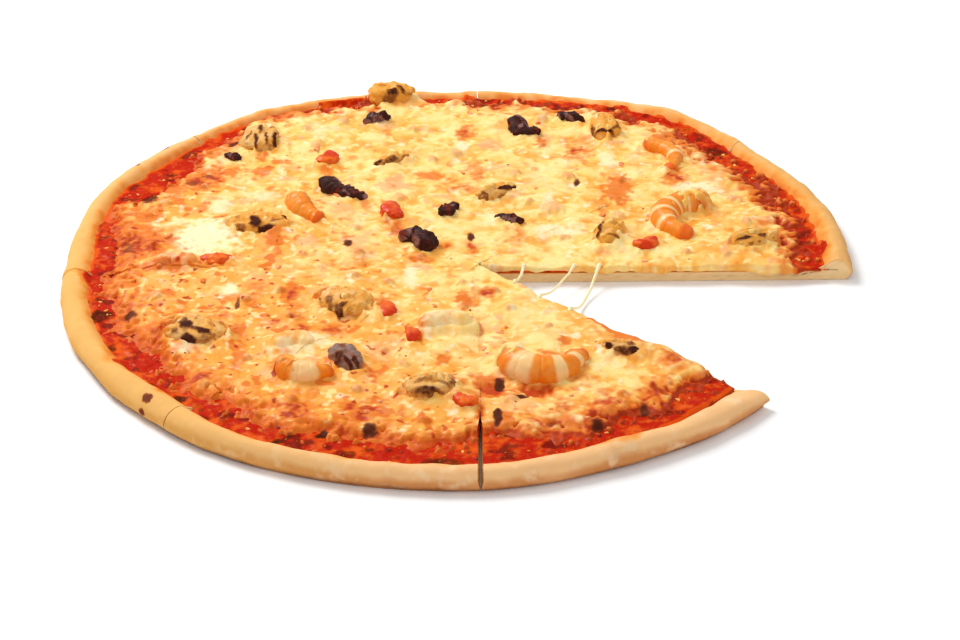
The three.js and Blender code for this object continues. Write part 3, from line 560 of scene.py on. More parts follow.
def patch_mask(patches, x, y, ragged=0.35, soft=0.5, grow=1.0):
    """How far each place lies in one of the patches, whose edges are ragged."""
    rag = ragged * (noise(x, y, 5, 41) + 0.8 * noise(x, y, 2.2, 42))
    mask = np.zeros(np.shape(x))
    for px, py, long, wide, turn, strength in patches:
        along, side = turned(x - px, y - py, -turn)
        away = np.hypot(along / (long * grow), side / (wide * grow)) + rag
        mask = np.maximum(mask, strength * (1 - smooth(away, 1 - soft, 1 + soft)))
    return mask


def rim_section(steps):
    """Stations of the rim's section, smoothed: share in, fixed height, share of the crest."""
    knots = [(share, DOUGH_TOP * (1 - level), level) for share, level in RIM_RISE]
    knots += [(share, 0.0, level) for share, level in RIM_FALL]
    knots = np.array([knots[0], *knots, knots[-1]], float)
    stations = []
    for k in range(len(knots) - 3):
        a, b, c, d = knots[k:k + 4]
        for t in np.arange(steps) / steps:
            stations.append(0.5 * (
                2 * b + (c - a) * t + (2 * a - 5 * b + 4 * c - d) * t**2
                + (3 * b - a - 3 * c + d) * t**3))
    return np.array([*stations, knots[-1]])


# The rim's rise from its foot to just past the crest
RISE_TABLE = rim_section(6)[:25]


def dough_height(x, y):
    """Height of the dough's top, on the flat and on the rim's inner slope."""
    out = -share_in(x, y)
    fixed, level = (np.interp(out, -RISE_TABLE[:, 0], RISE_TABLE[:, k]) for k in (1, 2))
    return fixed + level * crust_crest(np.arctan2(y, x))


def crust_swell(x, y, height, lumps):
    """Swells, wrinkles and creases of the crust at a place on its plain form."""
    u, v = x + 0.8 * height, y - 0.6 * height
    swell = (1.3 * noise(x, y, 34, 21) + 0.9 * noise(u, v, 15, 22)
             + 0.3 * noise(u, v, 6, 23) + 0.09 * noise(u, v, 2, 24))
    return lumps * (swell + 0.5 * np.clip(noise(u, v, 8, 25) - 0.2, -1, 0))


def inside_sauce(x, y):
    """Distance inward from the ragged edge that the sauce reaches on the crust."""
    angle = np.arctan2(y, x)
    lobes = smooth(noise(x, y, 24, 16) + 0.5 * noise(x, y, 9, 17), 0.1, 0.8)
    climb = 1.6 + 3.6 * lobes + 1.2 * noise(x, y, 12, 11) + 0.8 * noise(x, y, 4.5, 12)
    torn = smooth(np.cos(angle - math.radians(GONE_SLICE * 360 / SLICES)), 0.97, 0.99)
    return inside_foot(x, y) + np.minimum(
        climb * (1 - torn) - torn, 0.5 * crust_width(angle))


def sauce_height(x, y, sizes):
    """Height of the sauce, which climbs the rim's inner slope as a thin film."""
    relief = sizes.sauce_lumps / MM * (
        noise(x, y, 6.5, 13) + 0.7 * noise(x, y, 3, 14) + 0.4 * noise(x, y, 1.5, 15))
    plain = dough_height(x, y)
    swell = crust_swell(x, y, plain, sizes.crust_lumps / MM)
    skin = plain + swell * (1 - smooth(share_in(x, y), 0.86, 1))
    top = np.maximum(SAUCE_TOP + relief, skin + 0.28 + 0.3 * relief)
    held = smooth(inside_sauce(x, y), -0.4, 0.9)
    return np.where(inside_foot(x, y) > 3, SAUCE_TOP + relief,
                    top * held + SAUCE_UNDERSIDE * (1 - held))


# ---------------------------------------------------------------- toppings as lines


def mussel_girth(share):
    return np.sin(np.pi * share) ** 0.7 * (1.12 - 0.34 * share)


def strip_girth(share, fullness):
    """Girth along a strip that is full but for its rounded ends."""
    return np.minimum(1, fullness * np.sqrt(np.clip(share * (1 - share), 0, 1)))


def seat(kind, x, y, height):
    """Height of a topping's middle, sunk into the cheese as far as its kind is."""
    return cheese_height(x, y) + height * (0.5 - SUNK[kind])


def topping_lines():
    """Each topping's middle line with half widths and heights, which the cheese reads."""
    lines = {}
    share = np.linspace(0.06, 0.94, 15)

    def keep(kind, i, x, y, px, py, wide, tall, height, turn=0):
        px, py = turned(px, py, turn)
        lines[f"{kind}_{i}"] = (x + px, y + py, wide, tall, seat(kind, x, y, height))

    for i, (x, y, long, wide, height, turn) in enumerate(MUSSELS, 1):
        full = mussel_girth(share)
        keep("mussel", i, x, y, -long / 2 * np.cos(np.pi * share), 0 * share,
             wide / 2 * full, height / 2 * full, height, turn)
    for i, (x, y, long, thick, curl, turn) in enumerate(OCTOPUS, 1):
        radius = long / math.radians(curl)
        bend = math.radians(curl) * (share - 0.35)
        half = thick / 2 * strip_girth(share, OCTOPUS_FULLNESS) * (1 - 0.5 * share)
        keep("octopus", i, x, y, radius * np.cos(bend) - radius, radius * np.sin(bend),
             half, 0.9 * half, thick, turn)
    for i, (x, y, radius, start, end, thick) in enumerate(PRAWNS, 1):
        bend = np.radians(start + (end - start) * share)
        half = thick / 2 * smooth(share, -0.02, 0.12) * (1 - 0.55 * smooth(share, 0.3, 0.86))
        keep("prawn", i, x, y, radius * np.cos(bend), radius * np.sin(bend), half, half, thick)
    for i, (x, y, long, wide, height, turn, bend) in enumerate(PEPPERS, 1):
        along = 2 * share - 1
        keep("pepper", i, x, y, 0.8 * along * long / 2, bend * along**2,
             wide / 2 * (1 - 0.25 * along**2), height / 2 + 0 * share, height, turn)
    for i, (x, y, radius, start, end, wide, height) in enumerate(SQUID, 1):
        bend = np.radians(start + (end - start) * share)
        full = strip_girth(share, SQUID_FULLNESS)
        keep("squid", i, x, y, radius * np.cos(bend), radius * np.sin(bend),
             wide / 2 * full, height / 2 * full, height)
    return lines


TOPPING_LINES = topping_lines()


def near_topping(line, x, y):
    """How far outside a topping's outline each place lies, and the height of its top there."""
    px, py, wide, tall, middle = line
    away = np.hypot(x[:, None] - px, y[:, None] - py)
    best = np.argmin(away - wide, 1)
    distance = away[np.arange(len(x)), best]
    top = middle + tall[best] * np.sqrt(np.clip(1 - (distance / wide[best]) ** 2, 0, 1))
    return distance - wide[best], top


def on_topping(x, y):
    """Whether each place lies on a topping, from 0 to 1."""
    outside = np.min([near_topping(line, x, y)[0] for line in TOPPING_LINES.values()], 0)
    return 1 - smooth(outside, -0.5, 1)


def morsels():
    """The small bits of seafood that stand out of the solid cheese: x, y and half size."""
    found = []
    for i in PRESENT:
        node = frame["nodes"][f"cheese_slice_{i + 1}"]
        points = np.array([vertex.co for vertex in node.data.vertices]) / MM - ROUND_CENTRE
        proud = points[:, 2] - cheese_height(points[:, 0], points[:, 1])
        left = points[proud > MORSEL_PROUD]
        while len(left):
            near = np.hypot(*(left - left[0])[:, :2].T) < MORSEL_SPREAD
            low, high = left[near].min(0), left[near].max(0)
            size = max(MORSEL_LEAST, 0.5 * np.hypot(*(high - low)[:2]))
            found.append((*(low + high)[:2] / 2, size))
            left = left[~near]
    return found


MORSELS = morsels()


# ---------------------------------------------------------------- meshes


def to_metres(points):
    return (np.asarray(points, float) + ROUND_CENTRE) * MM


def put_in(name, data):
    """An object for a mesh, a lamp or a camera, in the scene."""
    made = bpy.data.objects.new(name, data)
    bpy.context.scene.collection.objects.link(made)
    return made


def make_piece(name, points, faces, attributes):
    """A mesh object with its place in its mesh, and with its masks as point attributes."""
    mesh = bpy.data.meshes.new(name)
    mesh.from_pydata(to_metres(points).tolist(), [], faces)
    for key, values in attributes.items():
        layer = mesh.attributes.new(key, "FLOAT", "POINT")
        layer.data.foreach_set("value", np.asarray(values, np.float32))
    mesh.polygons.foreach_set("use_smooth", np.ones(len(mesh.polygons), bool))
    mesh.update()
    return put_in(name, mesh)


def hand_over(piece, finish, slot, *nodes):
    """Gives a piece its finish, hangs it on the root body and hides the parts it stands for."""
    piece.data.materials.clear()
    piece.data.materials.append(finish)
    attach(piece, "root")
    if nodes:
        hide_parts(*nodes)
    return piece


def stitch(inner, inner_start, outer, outer_start):
    """Triangles between two rows that may hold different numbers of points."""
    i = np.arange(inner - 1)
    j = ((i + 1) * (outer - 1)) // max(inner - 1, 1)
    fill = np.stack([inner_start + i, outer_start + j, inner_start + i + 1], 1)
    j = np.arange(outer - 1)
    i = ((j + 1) * (inner - 1) - 1) // (outer - 1) if inner > 1 else 0 * j
    i = np.maximum(i, 0)
    fan = np.stack([inner_start + i, outer_start + j, outer_start + j + 1], 1)
    return np.concatenate([fill, fan]).tolist()


def row_ends(rows, side):
    """The number of the point that ends each row at a cut."""
    counts = np.array([len(row) for row in rows])
    starts = np.cumsum(counts) - counts
    return starts if side == "from" else starts + counts - 1


def wedge_mesh(rows, underside, levels, push):
    """Points and faces of a closed wedge. The first row is the tip and the last is the edge
    of the underside. push moves the points of the two cut faces: it takes the side, the
    places, the share of the way down and the way out of the face."""
    starts = row_ends(rows, "from")
    points = list(rows)
    faces = []
    for k, (row, further) in enumerate(zip(rows, rows[1:])):
        faces += stitch(len(row), starts[k], len(further), starts[k + 1])
    total = sum(len(row) for row in rows)
    under_tip = np.array([*rows[0][0][:2], underside])
    sides = []
    tip_column = None
    for side in ("from", "to"):
        ends = list(row_ends(rows, side))
        top = np.array([row[0 if side == "from" else -1] for row in rows])
        share = np.cumsum(np.hypot(*np.diff(top[:, :2], axis=0).T) + np.abs(np.diff(top[:, 2])))
        share = np.concatenate([[0], share])[:, None] / share[-1]
        low = under_tip + share * (top[-1] - under_tip)
        ahead = (top[-1] - under_tip)[:2] / np.hypot(*(top[-1] - under_tip)[:2])
        out = np.array([ahead[1], -ahead[0], 0]) * (1 if side == "from" else -1)
        grid = [ends]
        for level in range(1, levels + 1):
            part = level / levels
            places = push(side, top * (1 - part) + low * part, part, out)
            indices = list(range(total, total + len(top) - 1))
            points.append(places[:-1])
            total += len(top) - 1
            indices.append(ends[-1])
            if side == "to":
                indices[0] = tip_column[level - 1]
            grid.append(indices)
        if side == "from":
            tip_column = [row[0] for row in grid[1:]]
        for upper, lower in zip(grid, grid[1:]):
            for a in range(len(upper) - 1):
                quad = [upper[a], upper[a + 1], lower[a + 1], lower[a]]
                quad = list(dict.fromkeys(quad))
                faces.append(quad[::-1] if side == "from" else quad)
        sides.append(grid[-1])
    edge = list(range(starts[-1] + 1, starts[-1] + len(rows[-1]) - 1))
    faces.append((sides[0] + edge + sides[1][:0:-1])[::-1])
    return np.concatenate(points), faces


def tidy_wedge(name, points, faces, attributes, rim):
    """Makes the wedge, drops the points that no face uses and keeps its rim a sharp edge."""
    used = np.zeros(len(points), bool)
    for face in faces:
        used[face] = True
    index = np.cumsum(used) - 1
    faces = [[int(index[corner]) for corner in face] for face in faces]
    kept = {key: np.asarray(values)[used] for key, values in attributes.items()}
    piece = make_piece(name, points[used], faces, kept)
    piece.data.polygons[-1].use_smooth = False
    on_rim = np.isin(np.arange(len(points)), rim)[used]
    ends = np.array([edge.vertices for edge in piece.data.edges])
    sharp = piece.data.attributes.new("sharp_edge", "BOOLEAN", "EDGE")
    sharp.data.foreach_set("value", on_rim[ends].all(1))
    return piece


def cuts_of(wedge, index):
    """A slice's two cuts: side, number of the cut, and the heading out of the slice."""
    _, start, end = wedge
    return (("from", index, heading(start - math.pi / 2)),
            ("to", (index + 1) % SLICES, heading(end + math.pi / 2)))


def cut_distance(wedge, x, y, side):
    """Distance from one of a slice's cuts, into the slice."""
    tip, start, end = wedge
    angle = start if side == "from" else end
    sign = 1 if side == "from" else -1
    return sign * (-(x - tip[0]) * math.sin(angle) + (y - tip[1]) * math.cos(angle))


def near_cut(wedge, x, y, side):
    """Falls from 1 at a cut to 0 at a few millimetres from it."""
    return np.clip(1 - np.abs(cut_distance(wedge, x, y, side)) / RIM_PULL, 0, 1)


def from_tip(tip, places):
    return np.hypot(places[:, 0] - tip[0], places[:, 1] - tip[1])


def drawn_together(places, wedge, index, share):
    """Moves a layer's rims over its closed cuts by a share of half their opening."""
    tip, start, end = wedge
    x, y, z = places.T
    radius = from_tip(tip, places)
    moved = places.copy()
    slides = []
    for side, number, outward in cuts_of(wedge, index):
        half = KERF / 2 + radius * math.radians(CUT_OPENING[number]) / 2
        slide = half * near_cut(wedge, x, y, side) * share(number, radius, z)
        slide = slide * (number not in GAP_CUTS)
        moved[:, :2] += outward * slide[:, None]
        slides.append(slide)
    back = 1.85 * np.minimum(*slides)
    moved[:, :2] -= heading((start + end) / 2) * back[:, None]
    return moved


def sweep_row(wedge, spans, share, reach, height):
    """A row of places across a slice at a share of the reach, with a height for each."""
    tip, start, end = wedge
    angle = np.linspace(start, end, spans + 1)
    distance = share * reach(angle)
    x = tip[0] + distance * np.cos(angle)
    y = tip[1] + distance * np.sin(angle)
    return np.stack([x, y, height(x, y)], 1)


def reach_table(outline, wedge):
    """The reach to an outline at any heading in a slice, read from a fine table."""
    tip, start, end = wedge
    angles = np.linspace(start, end, 400)
    reaches = reach_to(outline, tip, angles)
    return lambda angle: np.interp(angle, angles, reaches)


def skin_mesh(rings, sides, place):
    """Points and faces of a closed skin round rings from one end of a piece to the other."""
    along, turn = np.meshgrid(np.arange(1, rings) / rings, np.arange(sides) / sides * math.tau,
                              indexing="ij")
    body = place(along.ravel(), turn.ravel())
    first, last = (place(np.full(sides, end), turn[0]).mean(0) for end in (0.0, 1.0))
    points = np.concatenate([[first], body, [last]])
    ring = lambda i, j: 1 + (i - 1) * sides + (j % sides)
    faces = []
    for j in range(sides):
        faces.append([0, ring(1, j + 1), ring(1, j)])
        faces.append([len(points) - 1, ring(rings - 1, j), ring(rings - 1, j + 1)])
        for i in range(1, rings - 1):
            faces.append([ring(i, j), ring(i, j + 1), ring(i + 1, j + 1), ring(i + 1, j)])
    corners = np.array([points[f[:3]] for f in faces])
    volume = np.einsum("ij,ij->i", corners[:, 0], np.cross(corners[:, 1], corners[:, 2])).sum()
    if volume < 0:
        faces = [face[::-1] for face in faces]
    return points, faces, np.array([0, *along.ravel(), 1]), np.array([0, *turn.ravel(), 0])


def crumpled(points, depth, size, seed, raised=0.0):
    """Swells and folds a skin about its middle, as meat crumples when it bakes."""
    away = points - (points.min(0) + points.max(0)) / 2
    away = away / np.maximum(np.linalg.norm(away, axis=1, keepdims=True), 0.1)
    swell = rough(points, size, seed) + 0.5 * rough(points, size / 2.2, seed + 50)
    fold = 0.5 - 1.6 * np.abs(rough(points, size * 0.7, seed + 100))
    return points + away * (depth * (0.7 * swell + 0.5 * fold) + raised)[:, None]


def seated(kind, points, x, y, turn, height):
    """Turns a topping and sets it down on the cheese."""
    px, py = turned(points[:, 0], points[:, 1], turn)
    return np.stack([px + x, py + y, points[:, 2] + seat(kind, x, y, height)], 1)


# ---------------------------------------------------------------- finishes


class Wire:
    """One output of a node, with the arithmetic that the finishes use."""

    def __init__(self, web, socket):
        self.web = web
        self.socket = socket

    def __add__(self, other):
        return self.web.maths("ADD", self, other)

    def __sub__(self, other):
        return self.web.maths("SUBTRACT", self, other)

    def __rsub__(self, other):
        return self.web.maths("SUBTRACT", other, self)

    def __mul__(self, other):
        return self.web.maths("MULTIPLY", self, other)

    __radd__ = __add__
    __rmul__ = __mul__


class Web:
    """Builds the nodes of one tree."""

    def __init__(self, tree):
        self.tree = tree

    def node(self, kind, settings=None, sockets=None, out=0):
        """Makes a node, gives it its settings and then its values and links."""
        made = self.tree.nodes.new(kind)
        for key, value in (settings or {}).items():
            setattr(made, key, value)
        for key, value in (sockets or {}).items():
            if isinstance(value, Wire):
                self.tree.links.new(value.socket, made.inputs[key])
            else:
                made.inputs[key].default_value = value
        return Wire(self, made.outputs[out])

    def maths(self, operation, first, second):
        return self.node("ShaderNodeMath", {"operation": operation}, {0: first, 1: second})

    def clamp(self, value):
        return self.node("ShaderNodeClamp", {}, {"Value": value})

    def step(self, value, low, high, bottom=0.0, top=1.0):
        return self.node(
            "ShaderNodeMapRange", {"interpolation_type": "SMOOTHSTEP"},
            {"Value": value, "From Min": low, "From Max": high, "To Min": bottom, "To Max": top})

    def mix(self, share, first, second):
        return self.node(
            "ShaderNodeMix", {"data_type": "RGBA"},
            {0: share, 6: tuple_or_wire(first), 7: tuple_or_wire(second)}, out=2)


def tuple_or_wire(value):
    return value if isinstance(value, Wire) else tuple(value)


class Finish(Web):
    """A material whose pattern is read at the object's own place, in metres."""

    def __init__(self, name):
        self.material = bpy.data.materials.new(name)
        self.material.use_nodes = True
        super().__init__(self.material.node_tree)
        self.tree.nodes.clear()
        self.place = self.node("ShaderNodeTexCoord", out="Object")

    def grain(self, millimetres, detail, rough, warp=0.0, stretch=None):
        place = self.place
        if stretch:
            place = self.node("ShaderNodeMapping", {}, {"Vector": place, "Scale": stretch})
        return self.node(
            "ShaderNodeTexNoise", {},
            {"Vector": place, "Scale": 1 / (millimetres * MM), "Detail": detail,
             "Roughness": rough, "Distortion": warp})

    def grains(self, *grains):
        return [self.grain(*grain) for grain in grains]

    def mask(self, name):
        return self.node("ShaderNodeAttribute", {"attribute_name": name}, out="Fac")

    def coats(self, base, *coats):
        """Lays colours over a base, each by a share where its value rises from low to high."""
        for value, low, high, share, over in coats:
            shown = self.step(value, low, high)
            base = self.mix(shown if share == 1 else shown * share, base, over)
        return base

    def shade(self, base, **sockets):
        named = {key.replace("_", " "): value for key, value in sockets.items()}
        named["Base Color"] = base
        shader = self.node("ShaderNodeBsdfPrincipled", {}, named)
        output = self.tree.nodes.new("ShaderNodeOutputMaterial")
        self.tree.links.new(shader.socket, output.inputs["Surface"])
        return self.material

    def surface(self, base, fine, least_rough, most_rough, relief, dry=None, milky=None,
                **sockets):
        """Shades a surface. relief is the height of its bumps with their depth in millimetres
        and strength, dry adds roughness, and milky is how light spreads under the surface."""
        roughness = self.step(fine, 0.3, 0.7, least_rough, most_rough)
        if dry is not None:
            roughness = roughness + dry
        if milky:
            for key, value in zip(("Weight", "Radius", "Scale"), milky):
                sockets[f"Subsurface_{key}"] = value
        height, depth, strength = relief
        bumps = {"Height": height, "Distance": depth * MM, "Strength": strength}
        return self.shade(base, Roughness=roughness,
                          Normal=self.node("ShaderNodeBump", {}, bumps), **sockets)


def cheese_finish(c):
    web = Finish("melted_cheese")
    wide, lumps, fine, speck = web.grains(
        (24, 2, 0.5), (7, 3, 0.5), (2.6, 3, 0.55), (1.2, 2, 0.5))
    red, white, dark = (web.mask(name) for name in ("red", "white", "dark"))
    relief = web.mask("relief") + (fine - 0.5) * 0.35
    rag = (fine - 0.5) * 0.5 + (lumps - 0.5) * 0.6
    # The hollows of the relief stay golden and its tops turn pale and white: painted shade in the hollows,
    # partly oil pooled there, and painted highlight on the lumps' tops. The stains also show more strongly
    # in the hollows.
    base = web.coats(
        c.cheese_golden,
        (relief + (wide - 0.5) * 0.6, 0.15, 0.6, 1, c.cheese_yellow),
        (relief + (wide - 0.5) * 0.8, 0.42, 0.85, 1, c.cheese_pale),
        (web.mask("golden") + rag, 0.1, 0.9, 0.8, c.cheese_golden),
        (web.mask("cream") + rag * 0.5, 0.1, 0.8, 0.8, c.cheese_pale),
        (web.mask("pink") + rag, 0.15, 0.85, 0.8, c.seafood_pink),
        # Painted highlight on the tops of the lumps.
        (relief, 0.7, 1.05, 0.55, c.cheese_white),
        (white + rag * 0.8, 0.2, 0.9, 0.9, c.cheese_white),
        (web.mask("orange") + rag - relief * 0.25, 0.0, 0.6, 0.9, c.cheese_orange),
        (red + rag - relief * 0.2, 0.15, 0.75, 0.92, c.cheese_red),
        (red - fine * 0.6, 0.3, 0.7, 0.4, c.sauce_dark),
        (speck, 0.64, 0.74, 0.45, c.cheese_orange),
        (dark + rag * 0.6, 0.15, 0.55, 0.85, c.crust_burn),
        (dark + rag * 0.6, 0.4, 0.75, 0.92, c.burnt))
    bumps = (fine * 0.5 + speck * 0.15 + lumps * 0.5) * (1 - white * 0.7)
    return web.surface(
        base, fine, 0.36, 0.55, (bumps, 0.5, 0.6), dark * 0.4,
        (0.15, (0.003, 0.0018, 0.0008), 0.5),
        Coat_Weight=web.clamp(web.step(lumps, 0.5, 0.7, 0.0, 0.25) - dark - red * 0.8),
        Coat_Roughness=0.2, IOR=1.35, Specular_IOR_Level=0.2)


def sauce_finish(c):
    web = Finish("tomato_sauce")
    wide, lumps, fine = web.grains((9, 2, 0.5), (4, 3, 0.55), (1.8, 4, 0.6))
    burnt = web.mask("burnt")
    rag = (fine - 0.5) * 0.7 + (lumps - 0.5) * 0.6
    base = web.coats(
        c.sauce_red,
        (wide * 0.5 + lumps * 0.5, 0.46, 0.64, 1, c.sauce_orange),
        (web.mask("orange") + rag, 0.2, 0.9, 0.9, c.sauce_orange),
        (web.mask("dark") + rag, 0.2, 0.9, 0.85, c.sauce_dark),
        (burnt + rag * 0.7, 0.4, 0.9, 1, c.burnt),
        (fine, 0.6, 0.74, 0.6, c.cheese_golden))
    return web.surface(
        base, fine, 0.35, 0.55, (fine * 0.6 + lumps * 0.4, 0.5, 0.7), burnt * 0.4,
        Coat_Weight=web.clamp(web.step(wide, 0.5, 0.65, 0.0, 0.08) - burnt),
        Coat_Roughness=0.18, IOR=1.25, Specular_IOR_Level=0.1)


def dough_finish(c):
    web = Finish("baked_dough")
    wide, blots, fine, dust = web.grains(
        (26, 2, 0.5), (9, 2, 0.5), (3.2, 4, 0.6), (0.8, 3, 0.6))
    rag = (wide - 0.5) * 1.2 + (blots - 0.5) * 0.9 + (fine - 0.5) * 0.35
    oily = web.mask("oil") + (fine - 0.5) * 0.5 + (blots - 0.5) * 0.4
    burnt = web.mask("burnt") + (fine - 0.5) * 0.4
    # The tan on the crust's outer side is partly its baked colour and partly painted shade.
    base = web.coats(
        c.dough_pale,
        (web.mask("side") + rag, 0.1, 1.05, 1, c.dough_tan_and_shade),
        (blots + (fine - 0.5) * 0.5, 0.48, 0.72, 0.6, c.dough_flour))
    base = web.mix(web.mask("gold") + (blots - 0.5) * 0.3, base, c.dough_gold)
    # Toasted spots, with painted shade darkening the crust's foot.
    base = web.coats(
        web.mix(web.mask("crumb"), base, c.dough_crumb),
        (web.mask("toast") + rag * 0.6, 0.1, 1.0, 0.9, c.dough_brown_and_shade),
        (oily, 0.05, 0.6, 0.7, c.cheese_golden), (oily, 0.45, 1.0, 0.7, c.cheese_orange),
        (burnt, 0.25, 0.7, 0.95, c.crust_burn), (burnt, 0.7, 1.0, 0.6, c.burnt))
    return web.surface(
        base, fine, 0.7, 0.9, (fine * 0.6 + dust * 0.5, 0.3, 0.6),
        milky=(0.08, (0.003, 0.002, 0.001), 0.5), Specular_IOR_Level=0.2)


def mussel_finish(c):
    web = Finish("mussel_meat")
    wide, fine = web.grains((5, 3, 0.55), (1.5, 4, 0.6))
    frill = web.mask("frill")
    rag = (fine - 0.5) * 0.8 + (wide - 0.5) * 0.4
    base = web.coats(
        c.mussel_gold,
        (web.mask("olive") + (wide - 0.5) * 1.4, 0.2, 0.9, 1, c.mussel_olive),
        (web.mask("grey") + (wide - 0.5) * 0.9, 0.25, 0.8, 1, c.mussel_grey),
        (fine + wide * 0.4, 0.72, 0.95, 0.4, c.cheese_pale),
        (frill + rag, 0.12, 0.6, 0.8, c.mussel_brown),
        (frill + rag, 0.48, 0.88, 0.95, c.mussel_frill))
    return web.surface(
        base, fine, 0.36, 0.55, (fine + wide * 0.5, 0.5, 0.8), frill * 0.4,
        Coat_Weight=web.clamp(web.step(wide, 0.45, 0.65, 0.05, 0.25) - frill),
        Coat_Roughness=0.18, Specular_IOR_Level=0.15)


def octopus_finish(c):
    web = Finish("octopus_skin")
    wide, fine = web.grains((4.5, 3, 0.55), (1.3, 3, 0.6))
    base = web.coats(c.octopus_dark, (web.mask("flesh") + (wide - 0.5) * 1.5, 0.25, 0.85, 0.85,
                                      c.octopus_light))
    base = web.mix(web.step(wide - (fine - 0.5) * 0.4, 0.34, 0.46, 0.6, 0.0), base, c.octopus_red)
    base = web.coats(base, (fine, 0.52, 0.68, 0.5, c.mussel_frill))
    return web.surface(
        base, fine, 0.5, 0.75, (fine + wide * 0.4, 0.35, 0.7),
        Coat_Weight=web.step(wide, 0.55, 0.7, 0.0, 0.1), Coat_Roughness=0.25,
        Specular_IOR_Level=0.1)


def prawn_finish(c):
    web = Finish("prawn_flesh")
    wide, fine = web.grains((5, 2, 0.5), (1.5, 4, 0.6, 0.4))
    rag = (fine - 0.5) * 0.35 + (wide - 0.5) * 0.35
    base = web.coats(
        c.prawn_orange,
        (wide, 0.35, 0.65, 0.7, c.cheese_golden),
        (web.mask("red") + rag, 0.3, 0.9, 0.85, c.prawn_red),
        (web.mask("band") + rag, 0.05, 0.9, 0.78, c.prawn_white))
    return web.surface(
        base, fine, 0.3, 0.48, (fine, 0.3, 0.6), milky=(0.15, (0.004, 0.002, 0.001), 0.5),
        Coat_Weight=0.14, Coat_Roughness=0.15, Specular_IOR_Level=0.15)


def pepper_finish(c):
    web = Finish("red_pepper")
    wide, fine = web.grains((6, 2, 0.5), (1.2, 3, 0.5))
    base = web.coats(c.pepper_red, (wide, 0.42, 0.68, 1, c.pepper_orange),
                     (fine, 0.58, 0.75, 0.4, c.sauce_dark))
    return web.surface(
        base, fine, 0.28, 0.45, (fine + wide * 0.6, 0.35, 0.7),
        Coat_Weight=0.1, Coat_Roughness=0.15, Specular_IOR_Level=0.15)


def squid_finish(c):
    web = Finish("squid_flesh")
    wide, fine = web.grains((7, 2, 0.5), (1.4, 3, 0.5))
    base = web.coats(c.squid_white, (wide, 0.42, 0.7, 0.6, c.seafood_pink),
                     (fine, 0.58, 0.78, 0.4, c.cheese_golden))
    return web.surface(
        base, fine, 0.35, 0.5, (fine + wide * 0.5, 0.3, 0.6),
        milky=(0.2, (0.004, 0.003, 0.001), 0.5),
        Coat_Weight=0.05, Coat_Roughness=0.18, Specular_IOR_Level=0.15)


def string_finish(c):
    web = Finish("drawn_cheese")
    wide, fine = web.grains((6, 2, 0.5, 0.0, (1, 1, 3)), (1.0, 3, 0.5))
    base = web.coats(c.cheese_white, (wide, 0.4, 0.65, 0.6, c.cheese_pale))
    return web.surface(
        base, fine, 0.3, 0.45, (fine, 0.25, 0.6), milky=(0.25, (0.004, 0.003, 0.002), 0.6),
        Coat_Weight=0.3, Coat_Roughness=0.15)


def bit_finish(name, first, second, size):
    """The finish of strewn bits, whose colour changes from place to place."""
    web = Finish(name)
    wide, fine = web.grains((size, 2, 0.5), (0.9, 2, 0.5))
    base = web.coats(first, (wide + (fine - 0.5) * 0.4, 0.38, 0.62, 1, second))
    return web.surface(base, fine, 0.45, 0.65, (fine, 0.2, 0.6), Specular_IOR_Level=0.2)


def floor_finish(c):
    web = Finish("pale_floor")
    base = web.coats(c.floor, (web.grain(40, 2, 0.5), 0.3, 0.7, 0.1, (0.9, 0.9, 0.9, 1)))
    return web.shade(base, Roughness=0.9)


# ---------------------------------------------------------------- layers of a slice


